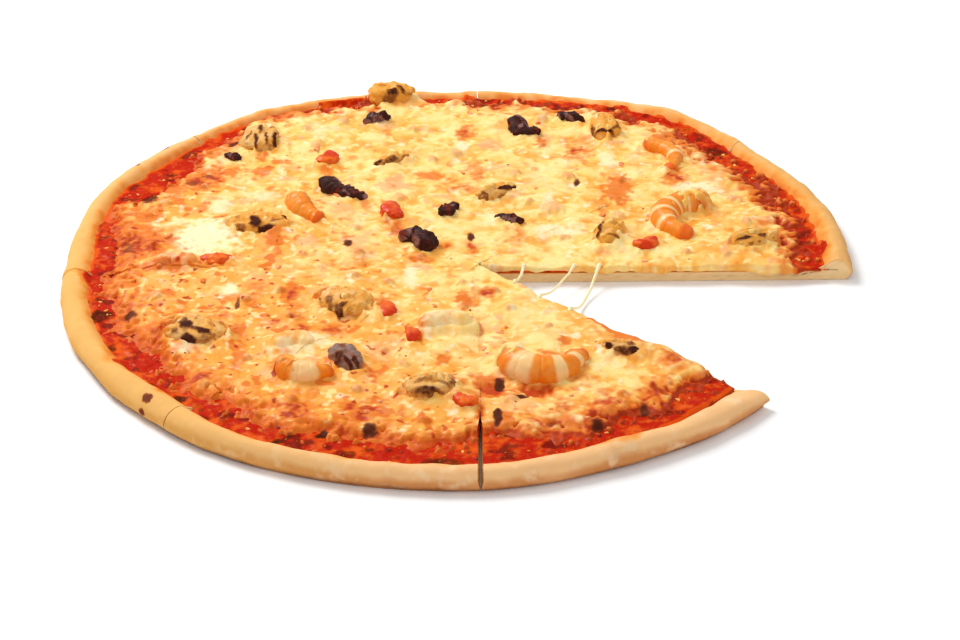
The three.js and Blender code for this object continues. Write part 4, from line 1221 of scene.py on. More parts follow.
def dough_piece(index, sizes):
    wedge = slice_frame(index)
    tip, start, end = wedge
    edge, foot = (reach_table(outline, wedge) for outline in (rim_radius, crust_foot))
    torn = index == GONE_SLICE - 1
    middle = (start + end) / 2
    inner = int(round(foot(middle) / FLAT_STEP))
    rows = [np.array([[*tip, DOUGH_TOP]])]
    for k in range(1, inner):
        rows.append(sweep_row(wedge, max(1, min(12, k // 3)), k / inner, foot,
                              lambda x, y: 0 * x + DOUGH_TOP))
    sides = [np.zeros(len(row)) for row in rows]
    spans = int(round(edge(middle) * (end - start) / (sizes.crust_step / MM)))
    angle = np.linspace(start, end, spans + 1)
    to_end = smooth(np.linspace(0, 1, spans + 1), 1 - TORN_SHARE, 1) * torn
    # Stations 0 to 32 go from the foot over the crest to the outer edge, 24, and the floor
    stations = rim_section(4)
    for number, (inward, fixed, level) in enumerate(stations):
        pull = to_end * smooth(1 - inward, 0, 0.34)
        distance = edge(angle) * (1 - inward) + foot(angle) * inward
        x = tip[0] + distance * np.cos(angle)
        y = tip[1] + distance * np.sin(angle)
        height = fixed + level * crust_crest(np.arctan2(y, x))
        height = height * (1 - TORN_THINNING * pull) + TORN_LIFT * pull
        live = smooth(number, 0, 3) * (1 - smooth(number, 29, 32))
        swell = crust_swell(x, y, height, sizes.crust_lumps / MM) * live
        out = min(1, max(0, number - 20) / 6)
        height = np.maximum(height + swell * (1 - 0.7 * out), 0) * (number < len(stations) - 1)
        reach = TORN_REACH * smooth(1 - inward, 0, 1) * to_end
        sideways = heading(end + math.pi / 2)
        x = x + np.cos(angle) * swell * out * 0.9 + sideways[0] * reach
        y = y + np.sin(angle) * swell * out * 0.9 + sideways[1] * reach
        rows.append(np.stack([x, y, height], 1))
        sides.append(np.full(spans + 1, smooth(number, 17, 25)))

    def closing(number, radius, z):
        return 0.92 - 0.7 * smooth(z, 0, 6) if number == FRONT_CUT else 0.6 + 0 * z

    rows = [drawn_together(row, wedge, index, closing) for row in rows]

    def crumb(side, places, part, out):
        d, z = from_tip(tip, places), places[:, 2]
        hole = smooth(cells(d, z * 1.6, 2.6, 31), 0.42, 0.12) * 0.7
        grit = 0.25 * noise(d, z * 1.5, 1.4, 32) + 0.2
        live = 4 * part * (1 - part) * smooth(d, 0, 3)
        return places - out * (np.clip(hole + grit, 0, 1) * live)[:, None]

    points, faces = wedge_mesh(rows, 0.0, CUT_ROWS["dough"], crumb)
    side = np.concatenate(sides)
    on_cut = np.arange(len(points)) >= len(side)
    side = np.concatenate([side, np.zeros(on_cut.sum())])
    x, y, z = points.T
    # Toasted blotches, and painted shade that darkens the crust's side towards its foot.
    toast = 0.2 * smooth(noise(x, y, 12, 33), 0.3, 0.9) + 0.7 * side * (1 - smooth(z, 0, 4.5))
    toast = toast + 0.25 * smooth(noise(x + z, y - z, 4, 34), 0.4, 0.9) * side
    patchy = np.clip(0.5 + 0.8 * noise(x, y, 11, 26) + 0.5 * noise(x, y, 4, 27), 0.1, 1)
    oil = smooth(inside_sauce(x, y), -5, 0) * (0.35 + 0.65 * patchy) * (z > 3) * (~on_cut)
    oil = oil + 0.5 * patch_mask(OILY_CRUST, x, y)
    burnt = 0 * x
    for bx, by, bz, size, strength in CRUST_BURNS:
        away = np.sqrt((x - bx) ** 2 + (y - by) ** 2 + (z - bz) ** 2) / size
        away = away + 0.2 * noise(x, y + z, 1.8, 28)
        burnt = np.maximum(burnt, strength * (1 - smooth(away, 0.6, 1.2)))
    angle = np.arctan2(y, x)
    # Painted shade: the crust's right is made darker, with more tan and gold.
    right = smooth(np.cos(angle - math.radians(20)), 0.6, 1)
    left = smooth(np.cos(angle - math.radians(195)), 0.3, 1)
    masks = {"side": side + 0.6 * right + 0.15 * left, "gold": 0.05 + 0.55 * right + 0.75 * left,
             "toast": toast, "oil": np.clip(oil, 0, 1), "burnt": burnt, "crumb": on_cut * 0.85}
    return tidy_wedge(f"dough_crust_{index + 1}", points, faces, masks, rim_of(rows))


def rim_of(rows, sides=("from", "to")):
    """The points of a wedge's rows that lie on its cuts."""
    return np.concatenate([row_ends(rows, side) for side in sides])


def sauce_piece(index, sizes):
    wedge = slice_frame(index)
    tip, start, end = wedge
    step = sizes.sauce_step / MM
    reach = reach_table(lambda a: crust_foot(a) + SAUCE_CLIMB * crust_width(a), wedge)
    deepest = reach((start + end) / 2)
    change = deepest - FINE_BAND
    rows = [np.array([[*tip, SAUCE_TOP]])]
    for distance in [*np.arange(COARSE_STEP, change, COARSE_STEP),
                     *np.arange(change, deepest, step), deepest]:
        pace = step if distance > change else COARSE_STEP
        spans = max(1, int(round(distance * (end - start) / pace)))
        rows.append(sweep_row(wedge, spans, distance / deepest, reach,
                              lambda x, y: sauce_height(x, y, sizes)))
    rows.append(rows[-1] * (1, 1, 0) + (0, 0, SAUCE_UNDERSIDE))

    def closing(number, radius, z):
        return 1 - 0.75 * smooth(radius, 112, 132) if number == FRONT_CUT else 1 + 0 * radius

    for row in rows:
        x, y, _ = row.T
        on_crust = smooth(-inside_foot(x, y), -1, 0)
        for side, number, _ in cuts_of(wedge, index):
            if number in GAP_CUTS:
                away = np.abs(cut_distance(wedge, x, y, side))
                tucked = on_crust * (1 - smooth(away, 0.4, 1.6))
                row[:, 2] = row[:, 2] * (1 - tucked) + SAUCE_UNDERSIDE * tucked
    rows = [drawn_together(row, wedge, index, closing) for row in rows]

    def ooze(side, places, part, out):
        d = from_tip(tip, places)
        live = 4 * part * (1 - part) * smooth(d, 0, 3)
        climbing = smooth(-inside_foot(places[:, 0], places[:, 1]), -1.5, 0.5)
        push = live * (0.1 + 0.1 * along_cut(d, 3, 36)) * (1 - climbing) - 0.6 * climbing
        return places + out * push[:, None]

    points, faces = wedge_mesh(rows, SAUCE_UNDERSIDE, CUT_ROWS["sauce"], ooze)
    x, y, _ = points.T
    thin = 1 - smooth(inside_sauce(x, y), 0.2, 3)
    dark = 0.95 * smooth(noise(x, y, 11, 37) + 0.6 * noise(x, y, 4, 38), 0.0, 0.7) * (1 - thin)
    orange = thin + 0.55 * smooth(noise(x, y, 9, 39), 0.2, 0.8)
    masks = {"dark": dark, "orange": np.clip(orange, 0, 1),
             "burnt": patch_mask(DARK_SPOTS, x, y)}
    return tidy_wedge(f"tomato_sauce_{index + 1}", points, faces, masks, rim_of(rows))


def cheese_cover(x, y):
    """How far each place is covered by cheese, from bare sauce to a full layer."""
    angle = np.arctan2(y, x)
    rag = 5.5 * noise(x, y, 16, 51) + 4.8 * noise(x, y, 7, 52) + 3.4 * noise(x, y, 3.2, 53)
    inside = cheese_radius(angle) + 3.0 - np.hypot(x, y) + rag
    islands = smooth(noise(x, y, 5, 54) + 0.7 * noise(x, y, 2.4, 55), 0.3, 0.9)
    cover = np.maximum(smooth(inside, -5, 8), islands * smooth(inside, -17, -4) * 0.75)
    holes = smooth(noise(x, y, 4.4, 59) + 0.7 * noise(x, y, 2.2, 56), 0.35, 0.9)
    cover = cover * (1 - 0.8 * holes * (1 - smooth(inside, 3, 14)))
    return cover * (1 - patch_mask(BARE_SAUCE, x, y)), inside


def off_white(x, y, share):
    """1, less a share of it on the fresh white lumps of cheese."""
    return 1 - share * patch_mask(WHITE_CHEESE, x, y, grow=1.2)


def cheese_relief(x, y):
    """Lumps of the melted cheese, from about -1 in a hollow to 1 on top of a lump."""
    u = x + 3 * noise(x, y, 11, 57)
    v = y + 3 * noise(x, y, 11, 58)
    folds = 1 - 2.2 * np.abs(noise(u, v, 7, 65))
    return 0.55 * noise(u, v, 10, 61) + off_white(x, y, 0.8) * (
        0.28 * folds + 0.3 * noise(u, v, 3.6, 62) + 0.09 * noise(x, y, 1.9, 63))


def lap_cheese(name, line, x, y, height):
    """Height of the cheese near a topping, which it laps and films over."""
    outside, top = near_topping(line, x, y)
    rag = noise(x, y, 3.6, 69) + 0.5 * noise(x, y, 1.8, 70)
    kind = name.split("_")[0]
    deep = 1.5 if kind == "mussel" else 1.0
    lap = (1.2 * deep + 0.8 * rag) * np.exp(
        -((np.maximum(outside + 0.8, 0) / (2.2 * deep)) ** 2))
    veil, lean = FILM_OF.get(name, FILM[kind])
    half = (np.max(line[1] + line[2]) - np.min(line[1] - line[2])) / 2
    back = (y - line[1].mean()) / half
    here = height + lap
    soft = smooth(veil, 0.9, 1)
    film = np.maximum(here, top + 0.3 + 0.35 * veil + soft * (0.1 + 0.3 * rag))
    shown = smooth(veil * 1.6 - 0.3 + 0.5 * rag + lean * np.clip(back, -1, 1), 0.2, 0.6)
    shown = shown * (1 - smooth(outside, -0.8 + 1.3 * soft, 0.8 + 4.7 * soft))
    if kind == "mussel":
        shown = shown * (1 - patch_mask(MUSSEL_FRILLS, x, y, 0.4, 0.5, 1.3))
    return here + (film - here) * shown


def cheese_surface(x, y, wedge, index, sizes):
    """Height of the cheese with its lumps, furrows, bits and laps on the toppings."""
    lively = sizes.cheese_lumps / MM * (0.8 + 0.4 * noise(x, y, 32, 60))
    height = cheese_height(x, y) + lively * cheese_relief(x, y)
    for side, number, _ in cuts_of(wedge, index):
        away = np.abs(cut_distance(wedge, x, y, side))
        width = 2.2 + 0.8 * noise(x, y, 9, 66)
        depth = sizes.furrow / MM * CUT_FURROWS[number] * (0.9 + 0.5 * noise(x, y, 14, 67))
        height = height - depth * np.exp(-((away / width) ** 2))
    for mx, my, size in MORSELS:
        away = np.hypot(x - mx, y - my) / size + 0.35 * noise(x, y, 2.5, 68)
        height = height + 1.7 * (1 - smooth(away, 0.3, 1.2))
    for name, line in TOPPING_LINES.items():
        near = np.ones(len(x), bool)
        for value, middle in ((x, line[0]), (y, line[1])):
            near &= value > np.min(middle - line[2]) - LAP_REACH
            near &= value < np.max(middle + line[2]) + LAP_REACH
        if near.any():
            height[near] = lap_cheese(name, line, x[near], y[near], height[near])
    floor = sauce_height(x, y, sizes) - 0.45
    return floor + (height - floor) * cheese_cover(x, y)[0] ** 0.85


def cheese_masks(x, y):
    """The masks that colour the cheese."""
    cover, inside = cheese_cover(x, y)
    calm = off_white(x, y, 0.85)
    left = smooth(-x - 0.5 * y, -20, 110)
    edge = (1 - smooth(inside, 2, 22)) * (0.5 + 0.7 * noise(x, y, 6, 71))
    thin = 1 - smooth(cover, 0.3, 0.8)
    bits = smooth(noise(x, y, 4.2, 72) + 0.6 * noise(x, y, 2.1, 73), 0.4, 0.9)
    vary = 0.75 + 0.5 * noise(x, y, 5, 84) + 0.4 * noise(x, y, 2.2, 85)
    stains_and_shade = patch_mask(RED_STAINS_AND_SHADE, x, y, 0.5, 0.6, 0.9) * vary
    red = np.max([stains_and_shade, thin * (1 - 0.45 * left), bits * calm * (0.35 + 0.5 * left)], 0)
    halo = 0.8 * patch_mask(RED_STAINS_AND_SHADE, x, y, 0.5, 0.7, 1.6)
    drift = smooth(noise(x, y, 9, 74) + 0.7 * noise(x, y, 3.4, 75), 0.15, 0.9)
    orange = np.max([patch_mask(ORANGE_STAINS, x, y, 0.45, 0.6), halo, 0.95 * edge,
                     1 - smooth(cover, 0.5, 1), drift * calm * (0.4 + 0.5 * left)], 0)
    pink = np.maximum(patch_mask(PINK_SEAFOOD, x, y, 0.45, 0.7),
                      0.7 * smooth(noise(x, y, 10, 76) + 0.5 * noise(x, y, 4, 79), 0.25, 0.9))
    for mx, my, size in MORSELS:
        pink = np.maximum(pink, 0.7 * (1 - smooth(np.hypot(x - mx, y - my) / size, 0.5, 1.1)))
    golden = np.max([patch_mask(GOLDEN_CHEESE, x, y), 0.85 * left * calm, 0.35 * edge,
                     0.7 * smooth(noise(x, y, 13, 77), 0.0, 0.7) * calm], 0)
    cream = smooth(noise(x, y, 4.6, 87) + 0.7 * noise(x, y, 2.3, 88), 0.1, 0.8)
    white = np.maximum(patch_mask(WHITE_CHEESE, x, y, 0.5, 0.8),
                       0.75 * smooth(noise(x, y, 8, 78) + 0.4 * noise(x, y, 3, 89), 0.35, 0.9))
    for i in range(len(SQUID)):
        outside, _ = near_topping(TOPPING_LINES[f"squid_{i + 1}"], x, y)
        white = np.maximum(white, 0.35 * (1 - smooth(outside, -3, 3)))
    # relief colours the cheese by its lumps: painted shade in the hollows, painted highlight on the tops.
    return {"relief": 0.5 + 0.5 * cheese_relief(x, y), "red": red, "orange": orange,
            "pink": pink, "golden": golden * (1 + 0.5 * noise(x, y, 6, 86)),
            "cream": cream * (1 - thin), "white": white,
            "dark": patch_mask(DARK_SPOTS, x, y, 0.3)}


def cheese_piece(index, sizes):
    wedge = slice_frame(index)
    tip, start, end = wedge
    step = sizes.cheese_step / MM
    reach = reach_table(lambda a: np.minimum(crust_foot(a) - 0.6, cheese_radius(a) + 16), wedge)
    deepest = reach((start + end) / 2)
    count = int(round(deepest / step))
    rows = [np.array([[*tip, 0.0]])]
    for k in range(1, count + 1):
        spans = max(1, int(round(k / count * deepest * (end - start) / step)))
        rows.append(sweep_row(wedge, spans, k / count, reach, lambda x, y: 0 * x))
    plain = np.concatenate(rows)
    x, y, _ = plain.T
    plain[:, 2] = np.maximum(cheese_surface(x, y, wedge, index, sizes), CHEESE_LEAST)
    gap = {"from": index == 0, "to": index == GONE_SLICE - 1}

    def closing(number, radius, z):
        return 1.04 - smooth(radius, 110, 128) if number == FRONT_CUT else 1.04 + 0 * radius

    places = drawn_together(plain, wedge, index, closing)
    radius = from_tip(tip, plain)
    for side, _, outward in cuts_of(wedge, index):
        if gap[side]:
            slide = 0.6 + 0.8 * along_cut(radius, 17, 80) + 0.5 * along_cut(radius, 5, 81)
            places[:, :2] += outward * (slide * near_cut(wedge, x, y, side))[:, None]
    rows = np.split(places, np.cumsum([len(row) for row in rows])[:-1])
    rows.append(rows[-1] * (1, 1, 0) + (0, 0, CHEESE_FOOT))

    def drip(side, places, part, out):
        if not gap[side]:
            return places
        d = from_tip(tip, places)
        hang = 0.7 + 1.3 * along_cut(d, 13, 82) + 0.9 * along_cut(d, 4, 83)
        hang = np.clip(hang, 0.1, 2.2) * smooth(d, 0, 4)
        bulge = 1.1 * math.sin(math.pi * min(part * 1.1, 1)) ** 0.7
        moved = places + out * (bulge * (0.35 + 0.4 * hang))[:, None]
        moved[:, 2] = places[:, 2] - hang * part
        return moved

    points, faces = wedge_mesh(rows, CHEESE_UNDERSIDE, CUT_ROWS["cheese"], drip)
    masks = cheese_masks(points[:, 0], points[:, 1])
    closed = rim_of(rows, [side for side in gap if not gap[side]])
    return tidy_wedge(f"melted_cheese_{index + 1}", points, faces, masks, closed)


# ---------------------------------------------------------------- toppings


def mussel_piece(number):
    x, y, long, wide, height, turn = MUSSELS[number - 1]
    olive, grey = MUSSEL_LOOKS[number - 1]

    def place(along, turns):
        full = mussel_girth(along)
        side, up = np.cos(turns), np.sin(turns)
        middle = 0.3 * np.sin(4 * along + number * 1.7)
        crease = np.where(up > 0, 0.24 * np.exp(-(((side - middle) / 0.2) ** 2)), 0)
        return np.stack([-long / 2 * np.cos(np.pi * along), wide / 2 * side * full,
                         height / 2 * full * (up - crease)], 1)

    points, faces, _, turns = skin_mesh(*SKIN_GRIDS["mussel"], place)
    points = seated("mussel", points, x, y, turn, height)
    frill = patch_mask(MUSSEL_FRILLS, points[:, 0], points[:, 1], 0.3, 0.45)
    ruffle = 0.5 + 0.5 * rough(points, 1.6, number + 200)
    points = crumpled(points, 0.11 * height, 0.42 * height, number, 0.8 * frill * ruffle)
    edge = np.exp(-(((np.abs(np.cos(turns)) - 0.9) / 0.12) ** 2)) * (np.sin(turns) > -0.3)
    frill = np.maximum(frill, 0.5 * edge * smooth(rough(points, 3, number + 300), 0.1, 0.5))
    return make_piece(f"mussel_meat_{number}", points, faces, {
        "frill": frill, "olive": olive + 0 * frill, "grey": grey + 0 * frill})


def octopus_piece(number):
    x, y, long, thickness, curl, turn = OCTOPUS[number - 1]
    sweep = math.radians(curl)
    radius = long / sweep

    def place(along, turns):
        knob = 1 + 0.14 * np.cos(5 * math.pi * along + number)
        suckers = 0.14 * np.cos(18 * math.pi * along) * np.exp(-((np.cos(turns) + 0.7) / 0.3) ** 2)
        thick = thickness / 2 * strip_girth(along, OCTOPUS_FULLNESS) * (1 - 0.5 * along) * (knob + suckers)
        angle = sweep * (along - 0.35)
        out = radius + thick * np.cos(turns)
        return np.stack([out * np.cos(angle) - radius, out * np.sin(angle),
                         0.9 * thick * np.sin(turns)], 1)

    points, faces, along, turns = skin_mesh(*SKIN_GRIDS["octopus"], place)
    points = seated("octopus", points, x, y, turn, thickness)
    points = crumpled(points, 0.13 * thickness, 0.45 * thickness, number + 20)
    flesh = 0.9 * np.exp(-(((np.cos(turns) + 0.75) / 0.35) ** 2)) * (0.4 + 0.6 * (along < 0.7))
    flesh = np.max([flesh, smooth(along, 0.88, 1),
                    0.8 * smooth(rough(points, 4, number + 60), 0.15, 0.7)], 0)
    return make_piece(f"octopus_arm_{number}", points, faces, {"flesh": 0.8 * flesh})


def prawn_piece(number):
    x, y, radius, start, end, thickness = PRAWNS[number - 1]

    def place(along, turns):
        angle = np.radians(start + (end - start) * along)
        body = smooth(along, -0.03, 0.16) * (1 - 0.42 * smooth(along, 0.45, 0.9))
        fan = smooth(along, 0.84, 0.95) * smooth(1 - along, -0.01, 0.04)
        groove = np.abs(np.sin(PRAWN_RINGS * math.pi * along)) ** 0.35
        bulge = 0.96 + 0.06 * groove * (1 - fan)
        wide = thickness / 2 * (body * bulge * (1 - 0.4 * smooth(along, 0.9, 1)) + 0.25 * fan)
        wide = wide * ((along > 0) & (along < 1))
        flat = 1 - 0.4 * smooth(along, 0.82, 0.95)
        out = radius + wide * np.cos(turns)
        return np.stack([out * np.cos(angle), out * np.sin(angle),
                         wide * flat * np.sin(turns)], 1)

    points, faces, along, turns = skin_mesh(*SKIN_GRIDS["prawn"], place)
    points = seated("prawn", points, x, y, 0, thickness)
    points = crumpled(points, 0.035 * thickness, 0.5 * thickness, number + 30)
    band = 0 * along
    for owner, middle, half in PRAWN_BANDS:
        if owner == number:
            band = np.maximum(band, 1 - smooth(np.abs(along - middle) / half, 0.55, 1.5))
    low = smooth(-np.sin(turns), -0.5, 0.7)
    groove = 1 - np.abs(np.sin(PRAWN_RINGS * math.pi * along)) ** 0.5
    red = np.max([0.5 * low, smooth(along, 0.82, 0.95), 0.9 * (1 - smooth(along, 0.06, 0.2)),
                  0.6 * groove], 0)
    return make_piece(f"curled_prawn_{number}", points, faces,
                      {"band": band * (1 - 0.3 * low), "red": red})


def pepper_piece(number):
    x, y, long, wide, height, turn, bend = PEPPERS[number - 1]

    def place(along, turns):
        a = -np.cos(np.pi * along)
        full = (1 - np.abs(a) ** 5) ** 0.35
        cos, sin = np.cos(turns), np.sin(turns)
        side = np.sign(cos) * np.abs(cos) ** 0.55
        up = np.sign(sin) * np.abs(sin) ** 0.6
        wrinkle = 1 + 0.06 * noise(6 * along, 2 * turns, 1, number + 60)
        px = a * long / 2 * (1 - 0.1 * side**2) * wrinkle
        py = side * wide / 2 * (1 - 0.25 * a**2) * full * wrinkle + bend * a**2
        pz = up * height / 2 * (1 - 0.16 * (a**2 + side**2)) * full + 0.4 * side
        return np.stack([px, py, pz * wrinkle], 1)

    points, faces, _, _ = skin_mesh(*SKIN_GRIDS["pepper"], place)
    points = crumpled(seated("pepper", points, x, y, turn, height), 0.5, 3.5, number + 40)
    return make_piece(f"pepper_piece_{number}", points, faces, {})


def squid_piece(number):
    x, y, radius, start, end, wide, height = SQUID[number - 1]

    def place(along, turns):
        angle = np.radians(start + (end - start) * along)
        full = strip_girth(along, SQUID_FULLNESS)
        full = full * (1 + 0.06 * noise(8 * along, 2 * turns, 1, number + 80))
        out = radius + wide / 2 * full * np.cos(turns)
        return np.stack([out * np.cos(angle), out * np.sin(angle),
                         height / 2 * full * np.sin(turns)], 1)

    points, faces, _, _ = skin_mesh(*SKIN_GRIDS["squid"], place)
    points = crumpled(seated("squid", points, x, y, 0, height), 0.4, 4, number + 45)
    return make_piece(f"squid_strip_{number}", points, faces, {})


def string_line(number):
    """The points along a string, which dives under the cheese at both of its ends."""
    distance, lean, _, sag = STRANDS[number - 1]
    _, start, end = slice_frame(GONE_SLICE)
    near = CUT_CENTRE + distance * heading(start)
    far = CUT_CENTRE + (distance + lean) * heading(end)
    share = np.linspace(-STRING_OVERRUN, 1 + STRING_OVERRUN, STRING_POINTS)
    x, y = (near + (far - near) * share[:, None]).T
    rest = cheese_height(x, y) - 0.1 - sag * np.clip(4 * share * (1 - share), 0, 1)
    rest = rest - STRING_DIVE * np.clip(np.abs(share - 0.5) - 0.5, 0, 1)
    wander = 0.25 * noise(60 * share, 0 * share + number, 9, 90 + number)
    line = make_piece("string line", np.column_stack([x + wander, y, rest]), [], {
        "girth": 0.7 + 0.5 * np.clip(np.abs(2 * share - 1), 0, 1) ** 8})
    line.data.edges.add(len(share) - 1)
    joins = [point for i in range(len(share) - 1) for point in (i, i + 1)]
    line.data.edges.foreach_set("vertices", joins)
    return line


# ---------------------------------------------------------------- geometry nodes


def node_group(name, **inputs):
    """A geometry tree with named inputs, and the web that builds its nodes."""
    tree = bpy.data.node_groups.new(name, "GeometryNodeTree")
    tree.interface.new_socket(name="Geometry", in_out="INPUT", socket_type="NodeSocketGeometry")
    for label, default in inputs.items():
        kind = "NodeSocketInt" if isinstance(default, int) else "NodeSocketFloat"
        tree.interface.new_socket(name=label, in_out="INPUT", socket_type=kind)
        tree.interface.items_tree[label].default_value = default
    tree.interface.new_socket(name="Geometry", in_out="OUTPUT", socket_type="NodeSocketGeometry")
    web = Web(tree)
    source = tree.nodes.new("NodeGroupInput")
    return web, {item.name: Wire(web, item) for item in source.outputs if item.name}


def end_group(web, geometry, finish):
    """Ends a geometry tree: instances made real, with their material."""
    real = web.node("GeometryNodeRealizeInstances", {}, {"Geometry": geometry})
    done = web.node("GeometryNodeSetMaterial", {}, {"Geometry": real, "Material": finish})
    output = web.tree.nodes.new("NodeGroupOutput")
    web.tree.links.new(done.socket, output.inputs["Geometry"])
    return web.tree


def grown_mesh(name, host, tree, **values):
    """Runs a geometry tree on a host object and keeps the result as a plain piece."""
    modifier = host.modifiers.new(name, "NODES")
    modifier.node_group = tree
    for item in tree.interface.items_tree:
        if item.item_type == "SOCKET" and item.in_out == "INPUT" and item.name in values:
            modifier[item.identifier] = values[item.name]
    bpy.context.view_layer.update()
    seen = host.evaluated_get(bpy.context.evaluated_depsgraph_get())
    mesh = bpy.data.meshes.new_from_object(seen)
    host.modifiers.remove(modifier)
    bpy.data.objects.remove(host)
    mesh.name = name
    return put_in(name, mesh)


def named_value(web, name):
    return web.node("GeometryNodeInputNamedAttribute", {"data_type": "FLOAT"}, {"Name": name})


def string_group(finish):
    """A round skin along a line, as thick as its attribute girth says."""
    web, given = node_group("cheese string", Thickness=0.0016, Sides=16)
    line = web.node("GeometryNodeMeshToCurve", {}, {"Mesh": given["Geometry"]})
    ring = web.node("GeometryNodeCurvePrimitiveCircle", {"mode": "RADIUS"},
                    {"Resolution": given["Sides"], "Radius": 0.5})
    skin = web.node("GeometryNodeCurveToMesh", {}, {
        "Curve": line, "Profile Curve": ring, "Fill Caps": True,
        "Scale": named_value(web, "girth") * given["Thickness"]})
    return end_group(web, skin, finish)


def strewn_group(finish):
    """Crumpled bits that lie over a surface, as thickly as its attribute spread says."""
    web, given = node_group("strewn bits", Density=1000.0, Size=0.0008, Flatness=0.3, Seed=7)
    spread = web.node("GeometryNodeDistributePointsOnFaces", {}, {
        "Mesh": given["Geometry"], "Seed": given["Seed"],
        "Density": named_value(web, "spread") * given["Density"]})
    place = web.node("GeometryNodeInputPosition")
    lumps = web.node("ShaderNodeTexNoise", {}, {"Vector": place, "Scale": 1.6}, out="Color")
    push = web.node("ShaderNodeVectorMath", {"operation": "SUBTRACT"},
                    {0: lumps, 1: (0.5, 0.5, 0.5)})
    bit = web.node("GeometryNodeMeshIcoSphere", {}, {"Radius": 0.5, "Subdivisions": 2})
    bit = web.node("GeometryNodeSetPosition", {}, {"Geometry": bit, "Offset": push})
    tall = web.node("ShaderNodeCombineXYZ", {}, {"X": 1.0, "Y": 0.66, "Z": given["Flatness"]})
    bit = web.node("GeometryNodeTransform", {}, {"Geometry": bit, "Scale": tall})
    stretch = web.node("FunctionNodeRandomValue", {"data_type": "FLOAT"},
                       {2: 0.5, 3: 1.6, "Seed": 3}, out=1)
    spin = web.node("FunctionNodeRandomValue", {"data_type": "FLOAT_VECTOR"},
                    {0: (-0.3, -0.3, 0.0), 1: (0.3, 0.3, math.tau), "Seed": 5})
    placed = web.node("GeometryNodeInstanceOnPoints", {}, {
        "Points": spread, "Instance": bit, "Scale": stretch * given["Size"], "Rotation": spin})
    return end_group(web, placed, finish)


def room_for_bits(on_cheese, x, y, size, seed, low, high):
    """How thickly bits may lie: in drifts, off the toppings on the cheese, or on bare sauce."""
    cover = cheese_cover(x, y)[0]
    if on_cheese:
        room = (1 - on_topping(x, y)) * off_white(x, y, 1) * smooth(cover, 0.6, 1)
    else:
        room = smooth(cover, 0.6, 0.2) * smooth(inside_foot(x, y), 0, 3)
    return room * smooth(noise(x, y, size, seed), low, high)


def strewn_field(layer, drifts):
    """The upward faces of a layer of every slice, with the room that they have for bits."""
    places, faces, total = [], [], 0
    for i in PRESENT:
        mesh = bpy.data.objects[f"{layer}_{i + 1}"].data
        places.append(np.array([v.co for v in mesh.vertices]) / MM - ROUND_CENTRE)
        faces += [[v + total for v in p.vertices] for p in mesh.polygons
                  if p.normal.z > 0.7 and len(p.vertices) == 3]
        total += len(mesh.vertices)
    places = np.concatenate(places)
    room = room_for_bits(layer == "melted_cheese", places[:, 0], places[:, 1], *drifts)
    return make_piece("strewn field", places, faces, {"spread": room})


# ---------------------------------------------------------------- operators


def build_layer(context, finish, make, slot):
    """Builds one layer of every slice."""
    finish = finish(context.scene.pizza_colours)
    for i in PRESENT:
        hand_over(make(i, context.scene.pizza_sizes), finish, slot, f"{slot}_slice_{i + 1}")
    return {"FINISHED"}


def build_toppings(context, finish, make, slot, table):
    """Builds every topping of one kind."""
    finish = finish(context.scene.pizza_colours)
    for number in range(1, len(table) + 1):
        hand_over(make(number), finish, slot, f"{slot}_{number}")
    return {"FINISHED"}


class PIZZA_OT_dough(bpy.types.Operator):
    """Build the dough and crust of every slice"""

    bl_idname = "pizza.dough"
    bl_label = "Dough and crust"

    def execute(self, context):
        return build_layer(context, dough_finish, dough_piece, "dough")


class PIZZA_OT_sauce(bpy.types.Operator):
    """Build the tomato sauce of every slice"""

    bl_idname = "pizza.sauce"
    bl_label = "Tomato sauce"

    def execute(self, context):
        return build_layer(context, sauce_finish, sauce_piece, "sauce")


class PIZZA_OT_cheese(bpy.types.Operator):
    """Build the melted cheese of every slice"""

    bl_idname = "pizza.cheese"
    bl_label = "Melted cheese"

    def execute(self, context):
        return build_layer(context, cheese_finish, cheese_piece, "cheese")


class PIZZA_OT_mussels(bpy.types.Operator):
    """Build the mussels"""

    bl_idname = "pizza.mussels"
    bl_label = "Mussels"

    def execute(self, context):
        return build_toppings(context, mussel_finish, mussel_piece, "mussel", MUSSELS)


class PIZZA_OT_octopus(bpy.types.Operator):
    """Build the pieces of octopus arm"""

    bl_idname = "pizza.octopus"
    bl_label = "Octopus"

    def execute(self, context):
        return build_toppings(context, octopus_finish, octopus_piece, "octopus", OCTOPUS)


class PIZZA_OT_prawns(bpy.types.Operator):
    """Build the curled prawns"""

    bl_idname = "pizza.prawns"
    bl_label = "Prawns"

    def execute(self, context):
        return build_toppings(context, prawn_finish, prawn_piece, "prawn", PRAWNS)


class PIZZA_OT_peppers(bpy.types.Operator):
    """Build the pieces of red pepper"""

    bl_idname = "pizza.peppers"
    bl_label = "Peppers"

    def execute(self, context):
        return build_toppings(context, pepper_finish, pepper_piece, "pepper", PEPPERS)


class PIZZA_OT_squid(bpy.types.Operator):
    """Build the strips of squid"""

    bl_idname = "pizza.squid"
    bl_label = "Squid"

    def execute(self, context):
        return build_toppings(context, squid_finish, squid_piece, "squid", SQUID)


class PIZZA_OT_strings(bpy.types.Operator):
    """Build the strings of cheese that sag across the gap"""

    bl_idname = "pizza.strings"
    bl_label = "Cheese strings"

    def execute(self, context):
        finish = string_finish(context.scene.pizza_colours)
        tree = string_group(finish)
        for number, (_, _, thickness, _) in enumerate(STRANDS, 1):
            piece = grown_mesh(f"drawn_string_{number}", string_line(number), tree,
                               Thickness=thickness * MM, Sides=16)
            hand_over(piece, finish, "cheese", f"cheese_string_{number}")
        return {"FINISHED"}


